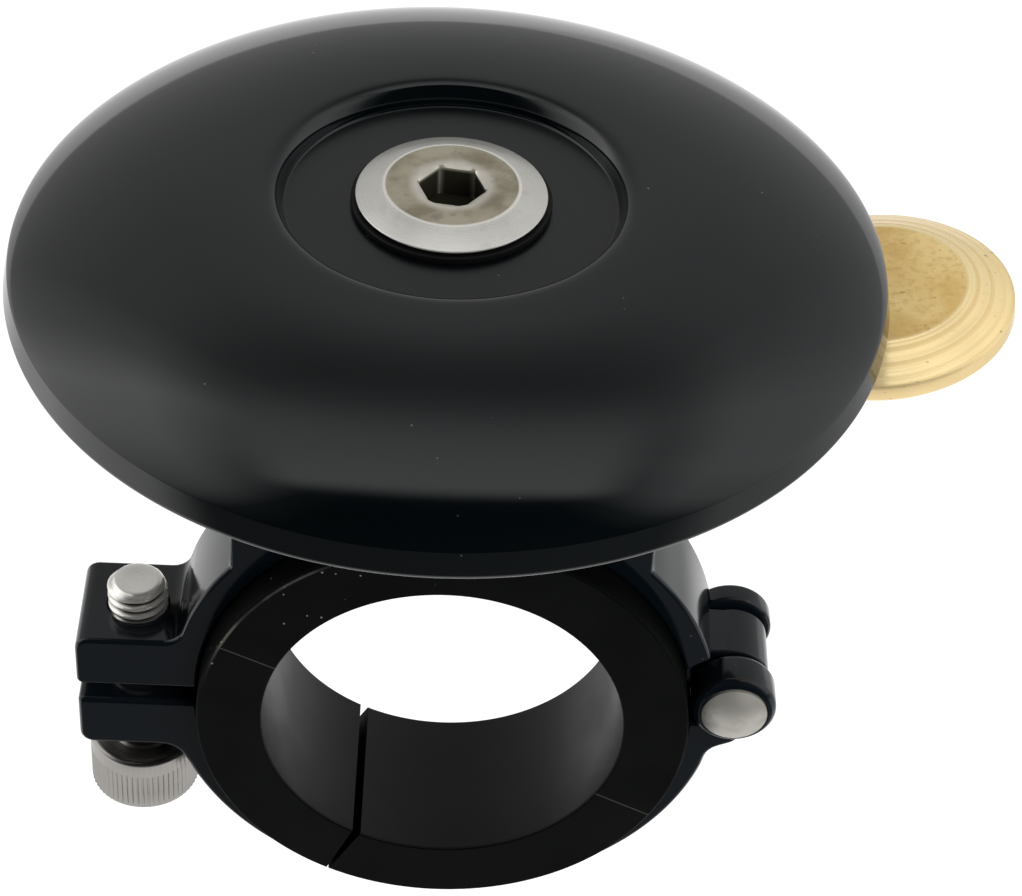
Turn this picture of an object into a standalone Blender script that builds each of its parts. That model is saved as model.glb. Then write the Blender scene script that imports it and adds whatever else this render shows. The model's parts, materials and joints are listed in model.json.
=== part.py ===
"""Bicycle bell on a hinged bar clamp, modelled as separate pieces.

The origin is on the bar's axis, at the middle of the clamp's width. +Y runs along the bar,
+X points to the clamp's hinge, and +Z points up through the bell.
Lengths are in millimetres here, and every helper turns them into metres.
"""

import math

import bmesh
import bpy
from mathutils import Matrix

MM = 0.001
OBJECT_NAME = "bicycle_bell"

# Gaps between neighbouring pieces
SEAT_GAP = 0.1
RUNNING_GAP = 0.3

# How far a cutter reaches past the face that it opens
CUTTER_REACH = 1.0

# Rubber shim that takes the bar
BAR_BORE_RADIUS = 11.65
SHIM_RADIUS = 15.85
SHIM_WIDTH = 11.8
SHIM_SLIT_WIDTH = 0.6
SHIM_SLIT_ANGLE = math.radians(242.5)

# Clamp halves around the shim
CLAMP_WIDTH = 7.5
CLAMP_BORE_RADIUS = 16.05
UPPER_RING_RADIUS = 17.7
LOWER_RING_RADIUS = 17.7
EDGE_BEVEL = 0.35
EAR_END_X = -23.7
EAR_CORNER = 0.8
UPPER_EAR_BOTTOM = 0.45
UPPER_EAR_TOP = 4.45
LOWER_EAR_TOP = -0.85
LOWER_EAR_BOTTOM = -5.0

# Neck between the upper ring and the bell
NECK_LEFT = -13.65
NECK_RIGHT = 12.75
NECK_SHOULDER_Z = 15.6
NECK_HEAD_HALF_WIDTH = 7.2
NECK_HEAD_Z = 21.2
NECK_TOP_Z = 22.4
NECK_SHOULDER_ROUND = 1.5
NECK_HEAD_ROUND = 0.8
BOSS_RADIUS = 6.2
BOSS_TOP_Z = 23.4
BOSS_ROOT_DEPTH = 0.7

# Hinge of the lower clamp half
HINGE_X = 18.8
HINGE_Z = 1.0
OUTER_KNUCKLE_RADIUS = 2.75
MIDDLE_KNUCKLE_RADIUS = 2.4
FRONT_KNUCKLE = (-4.6, -1.75)
MIDDLE_KNUCKLE = (-1.45, 2.75)
BACK_KNUCKLE = (3.05, 4.75)
UPPER_WEB_START_X = 16.2
UPPER_WEB_END_X = 18.4
UPPER_WEB_TOP_Z = 3.35
FRONT_POCKET_RADIUS = 4.4
LOWER_WEB_ANGLE = math.radians(16.0)
LOWER_WEB_REACH = 0.25
LOWER_WEB_BOTTOM_Z = -2.4
LOWER_WEB_ROUND = 1.3
LOWER_WEB_SLANT = 0.5
LOWER_WEB_LIFT = 0.5
PIN_RADIUS = 1.2
PIN_BORE_RADIUS = 1.5
PIN_HEAD_RADIUS = 2.12
PIN_HEAD_SEAT_Y = -3.9
PIN_HEAD_BORE_RADIUS = 2.4
PIN_HEAD_EDGE = 0.5
PIN_DOME_HEIGHT = 1.1
PIN_TAIL_RADIUS = 1.9
PIN_TAIL_LENGTH = 0.6
PIN_TAIL_CHAMFER = 0.5

# Clamp screw, head down
CLAMP_SCREW_X = -19.95
CLAMP_SCREW_RADIUS = 1.95
CLAMP_SCREW_TIP_Z = 6.45
CLAMP_SCREW_SEAT_Z = -7.15
CLAMP_SCREW_HEAD_RADIUS = 3.6
CLAMP_SCREW_HEAD_HEIGHT = 4.4
CLAMP_SCREW_SOCKET = 3.0
CLAMP_SCREW_SOCKET_DEPTH = 2.2
CLAMP_SCREW_TIP_CHAMFER = 0.45
CLAMP_SCREW_SEAT_CHAMFER = 0.2
CLAMP_SCREW_FOOT_CHAMFER = 0.3
UPPER_EAR_HOLE_RADIUS = 2.45
LOWER_EAR_HOLE_RADIUS = 2.25

# Bell shell
BELL_X = -0.75
RIM_RADIUS = 26.1
RIM_Z = 32.05
CREASE_RADIUS = 25.75
CREASE_Z = 33.8
CROWN_RADIUS = 11.1
CROWN_Z = 38.85
CROWN_POWER = 1.65
CROWN_STEPS = 9
SHELL_THICKNESS = 1.5
RECESS_RADIUS = 9.7
RECESS_Z = 37.4
RECESS_WALL = ((10.45, 38.68), (9.95, 38.2))
STACK_BORE_RADIUS = 2.75

# Screw and stack through the middle of the bell
DOME_SCREW_RADIUS = 2.4
DOME_SCREW_END_Z = 17.6
DOME_SCREW_HOLE_Z = 17.2
DOME_SCREW_END_CHAMFER = 0.5
SCREW_HEAD_RADIUS = 5.65
SCREW_HEAD_FLAT_RADIUS = 3.95
SCREW_HEAD_BASE_RADIUS = 5.45
SCREW_HEAD_BASE_Z = 38.05
SCREW_HEAD_EDGE_Z = 38.2
SCREW_HEAD_TOP_Z = 38.85
DOME_SCREW_SOCKET = 3.5
DOME_SCREW_SOCKET_DEPTH = 2.0
DOME_SCREW_SOCKET_TURN = math.radians(21.5)
TOP_WASHER_RADIUS = 5.85
SEAT_WASHER_RADIUS = 6.0
SEAT_WASHER_THICKNESS = 0.7
POST_RADIUS = 4.5
POST_FLANGE_RADIUS = 6.0
POST_FLANGE_HEIGHT = 1.5
POST_CONE_HEIGHT = 0.8
CLAMP_WASHER_RADIUS = 5.2
CLAMP_WASHER_THICKNESS = 1.0

# Striker on its leaf spring
STRIKER_ANGLE = math.radians(7.3)
STRIKER_RISE = math.radians(8.24)
SPRING_THICKNESS = 0.8
SPRING_EYE_RADIUS = 5.2
SPRING_TAB_END = 6.35
SPRING_BEND = 6.5
SPRING_ROOT_HALF_WIDTH = 3.6
SPRING_END_HALF_WIDTH = 3.2
SPRING_LENGTH = 23.6
KNOB_DISTANCE = 20.3
KNOB_RADIUS = 8.25
KNOB_FLAT_RADIUS = 5.5
KNOB_CONE_HEIGHT = 1.28
KNOB_EDGE_HEIGHT = 0.93
KNOB_THICKNESS = 3.2
KNOB_FOOT_RADIUS = 7.2
KNOB_HOLE_RADIUS = 1.6
KNOB_HOLE_DEPTH = 2.0
KNOB_SCREW_RADIUS = 1.3
KNOB_SCREW_HEAD_RADIUS = 2.5
KNOB_SCREW_HEAD_HEIGHT = 1.5
KNOB_SCREW_SOCKET = 2.0
KNOB_SCREW_SOCKET_DEPTH = 0.9
KNOB_SCREW_FOOT_HEIGHT = 0.3
KNOB_SCREW_FOOT_CHAMFER = 0.4
KNOB_WASHER_RADIUS = 3.2
KNOB_WASHER_THICKNESS = 0.5

# Sides of the round shapes
DOME_SIDES = 56
RING_SIDES = 56
SCREW_SIDES = 28
SMALL_SIDES = 20


def new_collection(name):
    collection = bpy.data.collections.new(name)
    bpy.context.scene.collection.children.link(collection)
    return collection


def new_material(name, colour, metallic, roughness):
    material = bpy.data.materials.new(name)
    material.use_nodes = True
    shader = material.node_tree.nodes["Principled BSDF"]
    shader.inputs["Base Color"].default_value = (*colour, 1.0)
    shader.inputs["Metallic"].default_value = metallic
    shader.inputs["Roughness"].default_value = roughness
    return material


def finish_piece(piece, colour, metallic, roughness):
    """Gives a finished piece its own material."""
    piece.data.materials.clear()
    piece.data.materials.append(new_material(piece.name + "_material", colour, metallic, roughness))


def make_helper(obj):
    """Moves an object to the cutters, which are never part of the bell."""
    for collection in list(obj.users_collection):
        collection.objects.unlink(obj)
    bpy.data.collections["cutters"].objects.link(obj)
    obj.hide_render = True
    obj.display_type = "WIRE"
    return obj


def link_piece(obj):
    bpy.data.collections[OBJECT_NAME].objects.link(obj)
    return obj


def boolean(target, tool, operation):
    modifier = target.modifiers.new(operation.lower() + "_" + tool.name, "BOOLEAN")
    modifier.operation = operation
    modifier.solver = "EXACT"
    modifier.object = tool
    return target


def cut(target, tool):
    return boolean(target, make_helper(tool), "DIFFERENCE")


def join(target, tool):
    return boolean(target, make_helper(tool), "UNION")


def turned(name, profile, sides, closed=False):
    """A piece turned about Z from points (radius, height) that run down its outer side."""
    mesh = bpy.data.meshes.new(name)
    points = [(radius * MM, 0.0, height * MM) for radius, height in profile]
    edges = [(index, index + 1) for index in range(len(points) - 1)]
    if closed:
        edges.append((len(points) - 1, 0))
    mesh.from_pydata(points, edges, [])
    obj = link_piece(bpy.data.objects.new(name, mesh))
    screw = obj.modifiers.new("turn", "SCREW")
    screw.axis = "Z"
    screw.angle = 2.0 * math.pi
    screw.steps = sides
    screw.render_steps = sides
    screw.use_merge_vertices = True
    screw.merge_threshold = 0.00001
    screw.use_smooth_shade = True
    return obj


def ring(name, inner, outer, bottom, top, sides):
    profile = [(inner, top), (outer, top), (outer, bottom), (inner, bottom)]
    return turned(name, profile, sides, closed=True)


def rod(name, radius, start, end, sides):
    """A cylinder of the given radius between two points."""
    bpy.ops.mesh.primitive_cylinder_add(vertices=sides, radius=radius * MM, depth=1.0)
    obj = bpy.context.active_object
    obj.name = name
    run = [(last - first) * MM for first, last in zip(start, end)]
    length = math.sqrt(sum(part * part for part in run))
    middle = [(first + last) / 2.0 * MM for first, last in zip(start, end)]
    along_y = abs(run[1]) > abs(run[2])
    turn = Matrix.Rotation(math.pi / 2.0, 4, "X") if along_y else Matrix.Identity(4)
    obj.data.transform(Matrix.Translation(middle) @ turn @ Matrix.Diagonal((1.0, 1.0, length, 1.0)))
    return obj


def block(name, low, high):
    """A box between two opposite corners."""
    bpy.ops.mesh.primitive_cube_add(size=1.0)
    obj = bpy.context.active_object
    obj.name = name
    size = [(last - first) * MM for first, last in zip(low, high)]
    middle = [(first + last) / 2.0 * MM for first, last in zip(low, high)]
    obj.data.transform(Matrix.Translation(middle) @ Matrix.Diagonal((*size, 1.0)))
    return obj


def hex_socket(name, across_flats, x, bottom, top):
    """A six-sided cutter that stands on its own axis, so that it can be turned about it."""
    socket = rod(name, across_flats / math.sqrt(3.0), (0.0, 0.0, bottom), (0.0, 0.0, top), 6)
    socket.location.x = x * MM
    return socket


def arc(centre, radius, start, end, steps):
    """Points on an arc, both ends included."""
    points = []
    for index in range(steps + 1):
        angle = start + (end - start) * index / steps
        points.append((centre[0] + radius * math.cos(angle), centre[1] + radius * math.sin(angle)))
    return points


def rounded(corner, before, after, size, steps=4):
    """Points that round a corner between its two neighbours, from a quadratic curve."""
    def toward(point):
        run = (point[0] - corner[0], point[1] - corner[1])
        length = math.hypot(*run)
        return (corner[0] + run[0] / length * size, corner[1] + run[1] / length * size)

    first = toward(before)
    last = toward(after)
    points = []
    for index in range(steps + 1):
        part = index / steps
        near_first = (1.0 - part) ** 2
        near_corner = 2.0 * part * (1.0 - part)
        near_last = part ** 2
        across = near_first * first[0] + near_corner * corner[0] + near_last * last[0]
        up = near_first * first[1] + near_corner * corner[1] + near_last * last[1]
        points.append((across, up))
    return points


def flat_plate(name, loops, thickness, upright):
    """A plate from closed outlines. It lies in XY, or stands in XZ when upright."""
    curve = bpy.data.curves.new(name, "CURVE")
    curve.dimensions = "2D"
    curve.fill_mode = "BOTH"
    curve.extrude = thickness / 2.0 * MM
    for loop in loops:
        spline = curve.splines.new("POLY")
        spline.points.add(len(loop) - 1)
        for point, (across, up) in zip(spline.points, loop):
            point.co = (across * MM, up * MM, 0.0, 1.0)
        spline.use_cyclic_u = True
    guide = link_piece(bpy.data.objects.new(name + "_outline", curve))
    bpy.context.view_layer.update()
    graph = bpy.context.evaluated_depsgraph_get()
    mesh = bpy.data.meshes.new_from_object(guide.evaluated_get(graph))
    if upright:
        mesh.transform(Matrix.Rotation(math.pi / 2.0, 4, "X"))
    work = bmesh.new()
    work.from_mesh(mesh)
    bmesh.ops.remove_doubles(work, verts=work.verts, dist=0.000001)
    bmesh.ops.dissolve_limit(work, angle_limit=math.radians(0.5), verts=work.verts, edges=work.edges)
    bmesh.ops.recalc_face_normals(work, faces=work.faces)
    work.to_mesh(mesh)
    work.free()
    bpy.data.objects.remove(guide)
    obj = link_piece(bpy.data.objects.new(name, mesh))
    return obj


def soften_edges(obj):
    bevel = obj.modifiers.new("edges", "BEVEL")
    bevel.width = EDGE_BEVEL * MM
    bevel.segments = 2
    bevel.limit_method = "ANGLE"
    bevel.angle_limit = math.radians(50.0)


def crown_point(part):
    """The bell's outer profile, from the shoulder (0) to the crease above the rim (1)."""
    turn = part * math.pi / 2.0
    radius = CROWN_RADIUS + (CREASE_RADIUS - CROWN_RADIUS) * math.sin(turn)
    height = CREASE_Z + (CROWN_Z - CREASE_Z) * max(math.cos(turn), 0.0) ** CROWN_POWER
    return radius, height


def crown_inside(part):
    """The same profile moved inward by the shell's thickness."""
    small = 0.01
    before = crown_point(max(part - small, 0.0))
    after = crown_point(min(part + small, 1.0))
    run = (after[0] - before[0], after[1] - before[1])
    length = math.hypot(*run)
    radius, height = crown_point(part)
    return (radius + run[1] / length * SHELL_THICKNESS, height - run[0] / length * SHELL_THICKNESS)


def make_dome():
    steps = [index / CROWN_STEPS for index in range(CROWN_STEPS + 1)]
    recess = [(STACK_BORE_RADIUS, RECESS_Z), (RECESS_RADIUS, RECESS_Z)]
    wall = list(reversed(RECESS_WALL))
    outside = [crown_point(part) for part in steps]
    rim = [(RIM_RADIUS, RIM_Z), (RIM_RADIUS - SHELL_THICKNESS, RIM_Z)]
    inside = [crown_inside(part) for part in reversed(steps)]
    under_z = RECESS_Z - SHELL_THICKNESS
    under = [(RECESS_RADIUS + SHELL_THICKNESS, under_z), (STACK_BORE_RADIUS, under_z)]
    dome = turned("dome", recess + wall + outside + rim + inside + under, DOME_SIDES, closed=True)
    dome.location.x = BELL_X * MM
    finish_piece(dome, (0.012, 0.012, 0.013), 0.0, 0.18)


def make_dome_screw():
    profile = [
        (0.0, SCREW_HEAD_TOP_Z),
        (SCREW_HEAD_FLAT_RADIUS, SCREW_HEAD_TOP_Z),
        (SCREW_HEAD_RADIUS, SCREW_HEAD_EDGE_Z),
        (SCREW_HEAD_BASE_RADIUS, SCREW_HEAD_BASE_Z),
        (DOME_SCREW_RADIUS, SCREW_HEAD_BASE_Z),
        (DOME_SCREW_RADIUS, DOME_SCREW_END_Z + DOME_SCREW_END_CHAMFER),
        (DOME_SCREW_RADIUS - DOME_SCREW_END_CHAMFER, DOME_SCREW_END_Z),
        (0.0, DOME_SCREW_END_Z),
    ]
    screw = turned("dome_screw", profile, SCREW_SIDES)
    screw.location.x = BELL_X * MM
    bottom = SCREW_HEAD_TOP_Z - DOME_SCREW_SOCKET_DEPTH
    socket = hex_socket("dome_socket", DOME_SCREW_SOCKET, BELL_X, bottom, SCREW_HEAD_TOP_Z + CUTTER_REACH)
    socket.rotation_euler.z = DOME_SCREW_SOCKET_TURN
    cut(screw, socket)
    finish_piece(screw, (0.62, 0.60, 0.57), 1.0, 0.35)


def make_stack():
    """Washers, post and spring clamp between the neck and the dome."""
    spring_top = BOSS_TOP_Z + SEAT_GAP + SPRING_THICKNESS
    clamp_bottom = spring_top + SEAT_GAP
    clamp_top = clamp_bottom + CLAMP_WASHER_THICKNESS
    seat_top = RECESS_Z - SHELL_THICKNESS - SEAT_GAP
    seat_bottom = seat_top - SEAT_WASHER_THICKNESS
    post_top = seat_bottom - SEAT_GAP
    post_bottom = clamp_top + SEAT_GAP
    top_washer_bottom = RECESS_Z + SEAT_GAP
    top_washer_top = SCREW_HEAD_BASE_Z - SEAT_GAP
    washers = (
        ("dome_top_washer", TOP_WASHER_RADIUS, top_washer_bottom, top_washer_top),
        ("dome_seat_washer", SEAT_WASHER_RADIUS, seat_bottom, seat_top),
        ("spring_clamp_washer", CLAMP_WASHER_RADIUS, clamp_bottom, clamp_top),
    )
    for name, radius, bottom, top in washers:
        washer = ring(name, STACK_BORE_RADIUS, radius, bottom, top, SCREW_SIDES)
        washer.location.x = BELL_X * MM
        if name == "spring_clamp_washer":
            finish_piece(washer, (0.60, 0.60, 0.58), 1.0, 0.4)
        else:
            finish_piece(washer, (0.01, 0.01, 0.01), 0.0, 0.5)
    post_profile = [
        (STACK_BORE_RADIUS, post_top),
        (POST_FLANGE_RADIUS, post_top),
        (POST_FLANGE_RADIUS, post_top - POST_FLANGE_HEIGHT),
        (POST_RADIUS, post_top - POST_FLANGE_HEIGHT - POST_CONE_HEIGHT),
        (POST_RADIUS, post_bottom),
        (STACK_BORE_RADIUS, post_bottom),
    ]
    post = turned("dome_post", post_profile, SCREW_SIDES, closed=True)
    post.location.x = BELL_X * MM
    finish_piece(post, (0.45, 0.45, 0.46), 1.0, 0.35)


def make_spring_root():
    """The eye of the leaf spring, with the short tab where the free blade begins."""
    half_angle = math.asin(SPRING_ROOT_HALF_WIDTH / SPRING_EYE_RADIUS)
    outline = arc((0.0, 0.0), SPRING_EYE_RADIUS, half_angle, 2.0 * math.pi - half_angle, 24)
    outline.append((SPRING_TAB_END, -SPRING_ROOT_HALF_WIDTH))
    outline.append((SPRING_TAB_END, SPRING_ROOT_HALF_WIDTH))
    hole = arc((0.0, 0.0), STACK_BORE_RADIUS, 0.0, 2.0 * math.pi * 23.0 / 24.0, 23)
    root = flat_plate("spring_root", [outline, hole], SPRING_THICKNESS, False)
    middle_z = BOSS_TOP_Z + SEAT_GAP + SPRING_THICKNESS / 2.0
    root.location = (BELL_X * MM, 0.0, middle_z * MM)
    root.rotation_euler.z = STRIKER_ANGLE
    finish_piece(root, (0.55, 0.55, 0.55), 1.0, 0.3)


def make_striker():
    """The blade, the knob and its screw, placed from the line where the spring bends."""
    bend = bpy.data.objects.new("striker_bend", None)
    link_piece(bend)
    bend_z = BOSS_TOP_Z + SEAT_GAP + SPRING_THICKNESS / 2.0
    across = SPRING_BEND * math.cos(STRIKER_ANGLE)
    along = SPRING_BEND * math.sin(STRIKER_ANGLE)
    bend.location = ((BELL_X + across) * MM, along * MM, bend_z * MM)
    bend.rotation_euler = (0.0, -STRIKER_RISE, STRIKER_ANGLE)

    start = RUNNING_GAP
    end = SPRING_LENGTH
    outline = [(start, SPRING_ROOT_HALF_WIDTH), (start, -SPRING_ROOT_HALF_WIDTH)]
    end_centre = (end - SPRING_END_HALF_WIDTH, 0.0)
    outline += arc(end_centre, SPRING_END_HALF_WIDTH, -math.pi / 2.0, math.pi / 2.0, 12)
    hole = arc((KNOB_DISTANCE, 0.0), KNOB_SCREW_RADIUS + RUNNING_GAP, 0.0, 2.0 * math.pi * 15.0 / 16.0, 15)
    blade = flat_plate("spring_arm", [outline, hole], SPRING_THICKNESS, False)
    blade.parent = bend
    finish_piece(blade, (0.55, 0.55, 0.55), 1.0, 0.3)

    foot = SPRING_THICKNESS / 2.0 + SEAT_GAP
    top = foot + KNOB_THICKNESS
    knob_profile = [
        (0.0, top),
        (KNOB_FLAT_RADIUS, top),
        (KNOB_RADIUS, top - KNOB_CONE_HEIGHT),
        (KNOB_RADIUS, top - KNOB_CONE_HEIGHT - KNOB_EDGE_HEIGHT),
        (KNOB_FOOT_RADIUS, foot),
        (KNOB_HOLE_RADIUS, foot),
        (KNOB_HOLE_RADIUS, foot + KNOB_HOLE_DEPTH),
        (0.0, foot + KNOB_HOLE_DEPTH),
    ]
    knob = turned("striker_knob", knob_profile, RING_SIDES)
    knob.parent = bend
    knob.location.x = KNOB_DISTANCE * MM
    finish_piece(knob, (0.62, 0.42, 0.16), 1.0, 0.3)

    washer_top = -SPRING_THICKNESS / 2.0 - SEAT_GAP
    washer_bottom = washer_top - KNOB_WASHER_THICKNESS
    washer_bore = KNOB_SCREW_RADIUS + RUNNING_GAP
    washer = ring("knob_washer", washer_bore, KNOB_WASHER_RADIUS, washer_bottom, washer_top, SMALL_SIDES)
    washer.parent = bend
    washer.location.x = KNOB_DISTANCE * MM
    finish_piece(washer, (0.6, 0.6, 0.6), 1.0, 0.35)

    head_top = washer_bottom - SEAT_GAP
    head_bottom = head_top - KNOB_SCREW_HEAD_HEIGHT
    screw_profile = [
        (0.0, foot + KNOB_HOLE_DEPTH - RUNNING_GAP),
        (KNOB_SCREW_RADIUS, foot + KNOB_HOLE_DEPTH - RUNNING_GAP),
        (KNOB_SCREW_RADIUS, head_top),
        (KNOB_SCREW_HEAD_RADIUS, head_top),
        (KNOB_SCREW_HEAD_RADIUS, head_bottom + KNOB_SCREW_FOOT_HEIGHT),
        (KNOB_SCREW_HEAD_RADIUS - KNOB_SCREW_FOOT_CHAMFER, head_bottom),
        (0.0, head_bottom),
    ]
    screw = turned("knob_screw", screw_profile, SMALL_SIDES)
    screw.parent = bend
    screw.location.x = KNOB_DISTANCE * MM
    socket_top = head_bottom + KNOB_SCREW_SOCKET_DEPTH
    socket_bottom = head_bottom - CUTTER_REACH
    socket = hex_socket("knob_socket", KNOB_SCREW_SOCKET, KNOB_DISTANCE, socket_bottom, socket_top)
    socket.parent = bend
    cut(screw, socket)
    finish_piece(screw, (0.55, 0.55, 0.55), 1.0, 0.35)


def make_shim():
    shim = ring("rubber_shim", BAR_BORE_RADIUS, SHIM_RADIUS, -SHIM_WIDTH / 2.0, SHIM_WIDTH / 2.0, RING_SIDES)
    shim.rotation_euler.x = math.pi / 2.0
    slit = block(
        "shim_slit",
        (BAR_BORE_RADIUS - CUTTER_REACH, -SHIM_WIDTH, -SHIM_SLIT_WIDTH / 2.0),
        (SHIM_RADIUS + CUTTER_REACH, SHIM_WIDTH, SHIM_SLIT_WIDTH / 2.0),
    )
    slit.rotation_euler.y = -SHIM_SLIT_ANGLE
    cut(shim, slit)
    finish_piece(shim, (0.012, 0.012, 0.012), 0.0, 0.62)


def upper_outline():
    """The upper half seen along the bar, from the ear's lower corner over the neck to the hinge."""
    ear_low = (EAR_END_X, UPPER_EAR_BOTTOM)
    ear_high = (EAR_END_X, UPPER_EAR_TOP)
    ear_root_angle = math.pi - math.asin(UPPER_EAR_TOP / UPPER_RING_RADIUS)
    ring_left = math.acos(NECK_LEFT / UPPER_RING_RADIUS)
    ring_right = math.acos(NECK_RIGHT / UPPER_RING_RADIUS)
    ring_end = math.asin(UPPER_EAR_BOTTOM / UPPER_RING_RADIUS)
    bore_start = math.asin(UPPER_EAR_BOTTOM / CLAMP_BORE_RADIUS)
    shoulder_left = (NECK_LEFT, NECK_SHOULDER_Z)
    shoulder_right = (NECK_RIGHT, NECK_SHOULDER_Z)
    head_left = (BELL_X - NECK_HEAD_HALF_WIDTH, NECK_HEAD_Z)
    head_right = (BELL_X + NECK_HEAD_HALF_WIDTH, NECK_HEAD_Z)
    outline = rounded(ear_low, (0.0, UPPER_EAR_BOTTOM), ear_high, EAR_CORNER / 2.0)
    outline += rounded(ear_high, ear_low, (0.0, UPPER_EAR_TOP), EAR_CORNER)
    outline += arc((0.0, 0.0), UPPER_RING_RADIUS, ear_root_angle, ring_left, 6)
    outline += rounded(shoulder_left, (NECK_LEFT, 0.0), head_left, NECK_SHOULDER_ROUND)
    outline += rounded(head_left, shoulder_left, (head_left[0], NECK_TOP_Z), NECK_HEAD_ROUND)
    outline.append((head_left[0], NECK_TOP_Z))
    outline.append((head_right[0], NECK_TOP_Z))
    outline += rounded(head_right, (head_right[0], NECK_TOP_Z), shoulder_right, NECK_HEAD_ROUND)
    outline += rounded(shoulder_right, head_right, (NECK_RIGHT, 0.0), NECK_SHOULDER_ROUND)
    outline += arc((0.0, 0.0), UPPER_RING_RADIUS, ring_right, ring_end, 10)
    outline += arc((0.0, 0.0), CLAMP_BORE_RADIUS, bore_start, math.pi - bore_start, 32)
    return outline


def lower_outline():
    """The lower half seen along the bar, with the web that reaches out to the knuckles."""
    ear_low = (EAR_END_X, LOWER_EAR_BOTTOM)
    ear_high = (EAR_END_X, LOWER_EAR_TOP)
    ring_start = math.pi + math.asin(-LOWER_EAR_BOTTOM / LOWER_RING_RADIUS)
    web_start = 2.0 * math.pi - LOWER_WEB_ANGLE
    bore_start = -math.asin(-LOWER_EAR_TOP / CLAMP_BORE_RADIUS)
    outline = rounded(ear_high, (0.0, LOWER_EAR_TOP), ear_low, EAR_CORNER / 2.0)
    outline += rounded(ear_low, ear_high, (0.0, LOWER_EAR_BOTTOM), EAR_CORNER)
    outline += arc((0.0, 0.0), LOWER_RING_RADIUS, ring_start, web_start, 24)
    web_foot = outline[-1]
    web_corner = (web_foot[0] + LOWER_WEB_REACH, LOWER_WEB_BOTTOM_Z)
    web_end = (HINGE_X, LOWER_WEB_BOTTOM_Z + LOWER_WEB_LIFT)
    outline += rounded(web_corner, web_foot, web_end, LOWER_WEB_ROUND)
    outline.append(web_end)
    outline.append((HINGE_X - LOWER_WEB_SLANT, LOWER_EAR_TOP))
    outline += arc((0.0, 0.0), CLAMP_BORE_RADIUS + SEAT_GAP, bore_start, -math.pi - bore_start, 32)
    return outline


def hinge_rod(name, radius, span, sides=SCREW_SIDES):
    return rod(name, radius, (HINGE_X, span[0], HINGE_Z), (HINGE_X, span[1], HINGE_Z), sides)


def make_upper_clamp():
    clamp = flat_plate("upper_clamp", [upper_outline()], CLAMP_WIDTH, True)
    soften_edges(clamp)
    boss_low = (BELL_X, 0.0, NECK_TOP_Z - EDGE_BEVEL - BOSS_ROOT_DEPTH)
    boss_high = (BELL_X, 0.0, BOSS_TOP_Z)
    join(clamp, rod("boss", BOSS_RADIUS, boss_low, boss_high, SCREW_SIDES))
    back_pocket_radius = OUTER_KNUCKLE_RADIUS + RUNNING_GAP
    front_pocket = (-CLAMP_WIDTH, FRONT_KNUCKLE[1] + RUNNING_GAP / 2.0)
    back_pocket = (BACK_KNUCKLE[0] - RUNNING_GAP / 2.0, CLAMP_WIDTH)
    cut(clamp, hinge_rod("front_pocket", FRONT_POCKET_RADIUS, front_pocket))
    cut(clamp, hinge_rod("back_pocket", back_pocket_radius, back_pocket))
    web_low = (UPPER_WEB_START_X, MIDDLE_KNUCKLE[0], HINGE_Z)
    web_high = (UPPER_WEB_END_X, MIDDLE_KNUCKLE[1], UPPER_WEB_TOP_Z)
    join(clamp, block("knuckle_web", web_low, web_high))
    join(clamp, hinge_rod("middle_knuckle", MIDDLE_KNUCKLE_RADIUS, MIDDLE_KNUCKLE))
    cut(clamp, hinge_rod("upper_pin_bore", PIN_BORE_RADIUS, (-CLAMP_WIDTH, CLAMP_WIDTH)))
    hole_bottom = (CLAMP_SCREW_X, 0.0, UPPER_EAR_BOTTOM - CUTTER_REACH)
    hole_top = (CLAMP_SCREW_X, 0.0, UPPER_EAR_TOP + CUTTER_REACH)
    cut(clamp, rod("upper_ear_hole", UPPER_EAR_HOLE_RADIUS, hole_bottom, hole_top, SMALL_SIDES))
    screw_low = (BELL_X, 0.0, DOME_SCREW_HOLE_Z)
    screw_high = (BELL_X, 0.0, BOSS_TOP_Z + CUTTER_REACH)
    cut(clamp, rod("dome_screw_hole", STACK_BORE_RADIUS, screw_low, screw_high, SMALL_SIDES))
    finish_piece(clamp, (0.012, 0.012, 0.013), 0.0, 0.3)


def make_lower_clamp(jaw):
    clamp = flat_plate("lower_clamp", [lower_outline()], CLAMP_WIDTH, True)
    soften_edges(clamp)
    join(clamp, hinge_rod("front_knuckle", OUTER_KNUCKLE_RADIUS, FRONT_KNUCKLE))
    join(clamp, hinge_rod("back_knuckle", OUTER_KNUCKLE_RADIUS, BACK_KNUCKLE))
    pocket = (MIDDLE_KNUCKLE[0] - RUNNING_GAP, MIDDLE_KNUCKLE[1] + RUNNING_GAP)
    cut(clamp, hinge_rod("middle_pocket", MIDDLE_KNUCKLE_RADIUS + RUNNING_GAP, pocket))
    cut(clamp, hinge_rod("lower_pin_bore", PIN_BORE_RADIUS, (-CLAMP_WIDTH, CLAMP_WIDTH)))
    cut(clamp, hinge_rod("pin_head_bore", PIN_HEAD_BORE_RADIUS, (-CLAMP_WIDTH, PIN_HEAD_SEAT_Y)))
    hole_bottom = (CLAMP_SCREW_X, 0.0, LOWER_EAR_BOTTOM - CUTTER_REACH)
    hole_top = (CLAMP_SCREW_X, 0.0, LOWER_EAR_TOP + CUTTER_REACH)
    cut(clamp, rod("lower_ear_hole", LOWER_EAR_HOLE_RADIUS, hole_bottom, hole_top, SMALL_SIDES))
    ride_on(clamp, jaw)
    finish_piece(clamp, (0.012, 0.012, 0.013), 0.0, 0.3)


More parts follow.
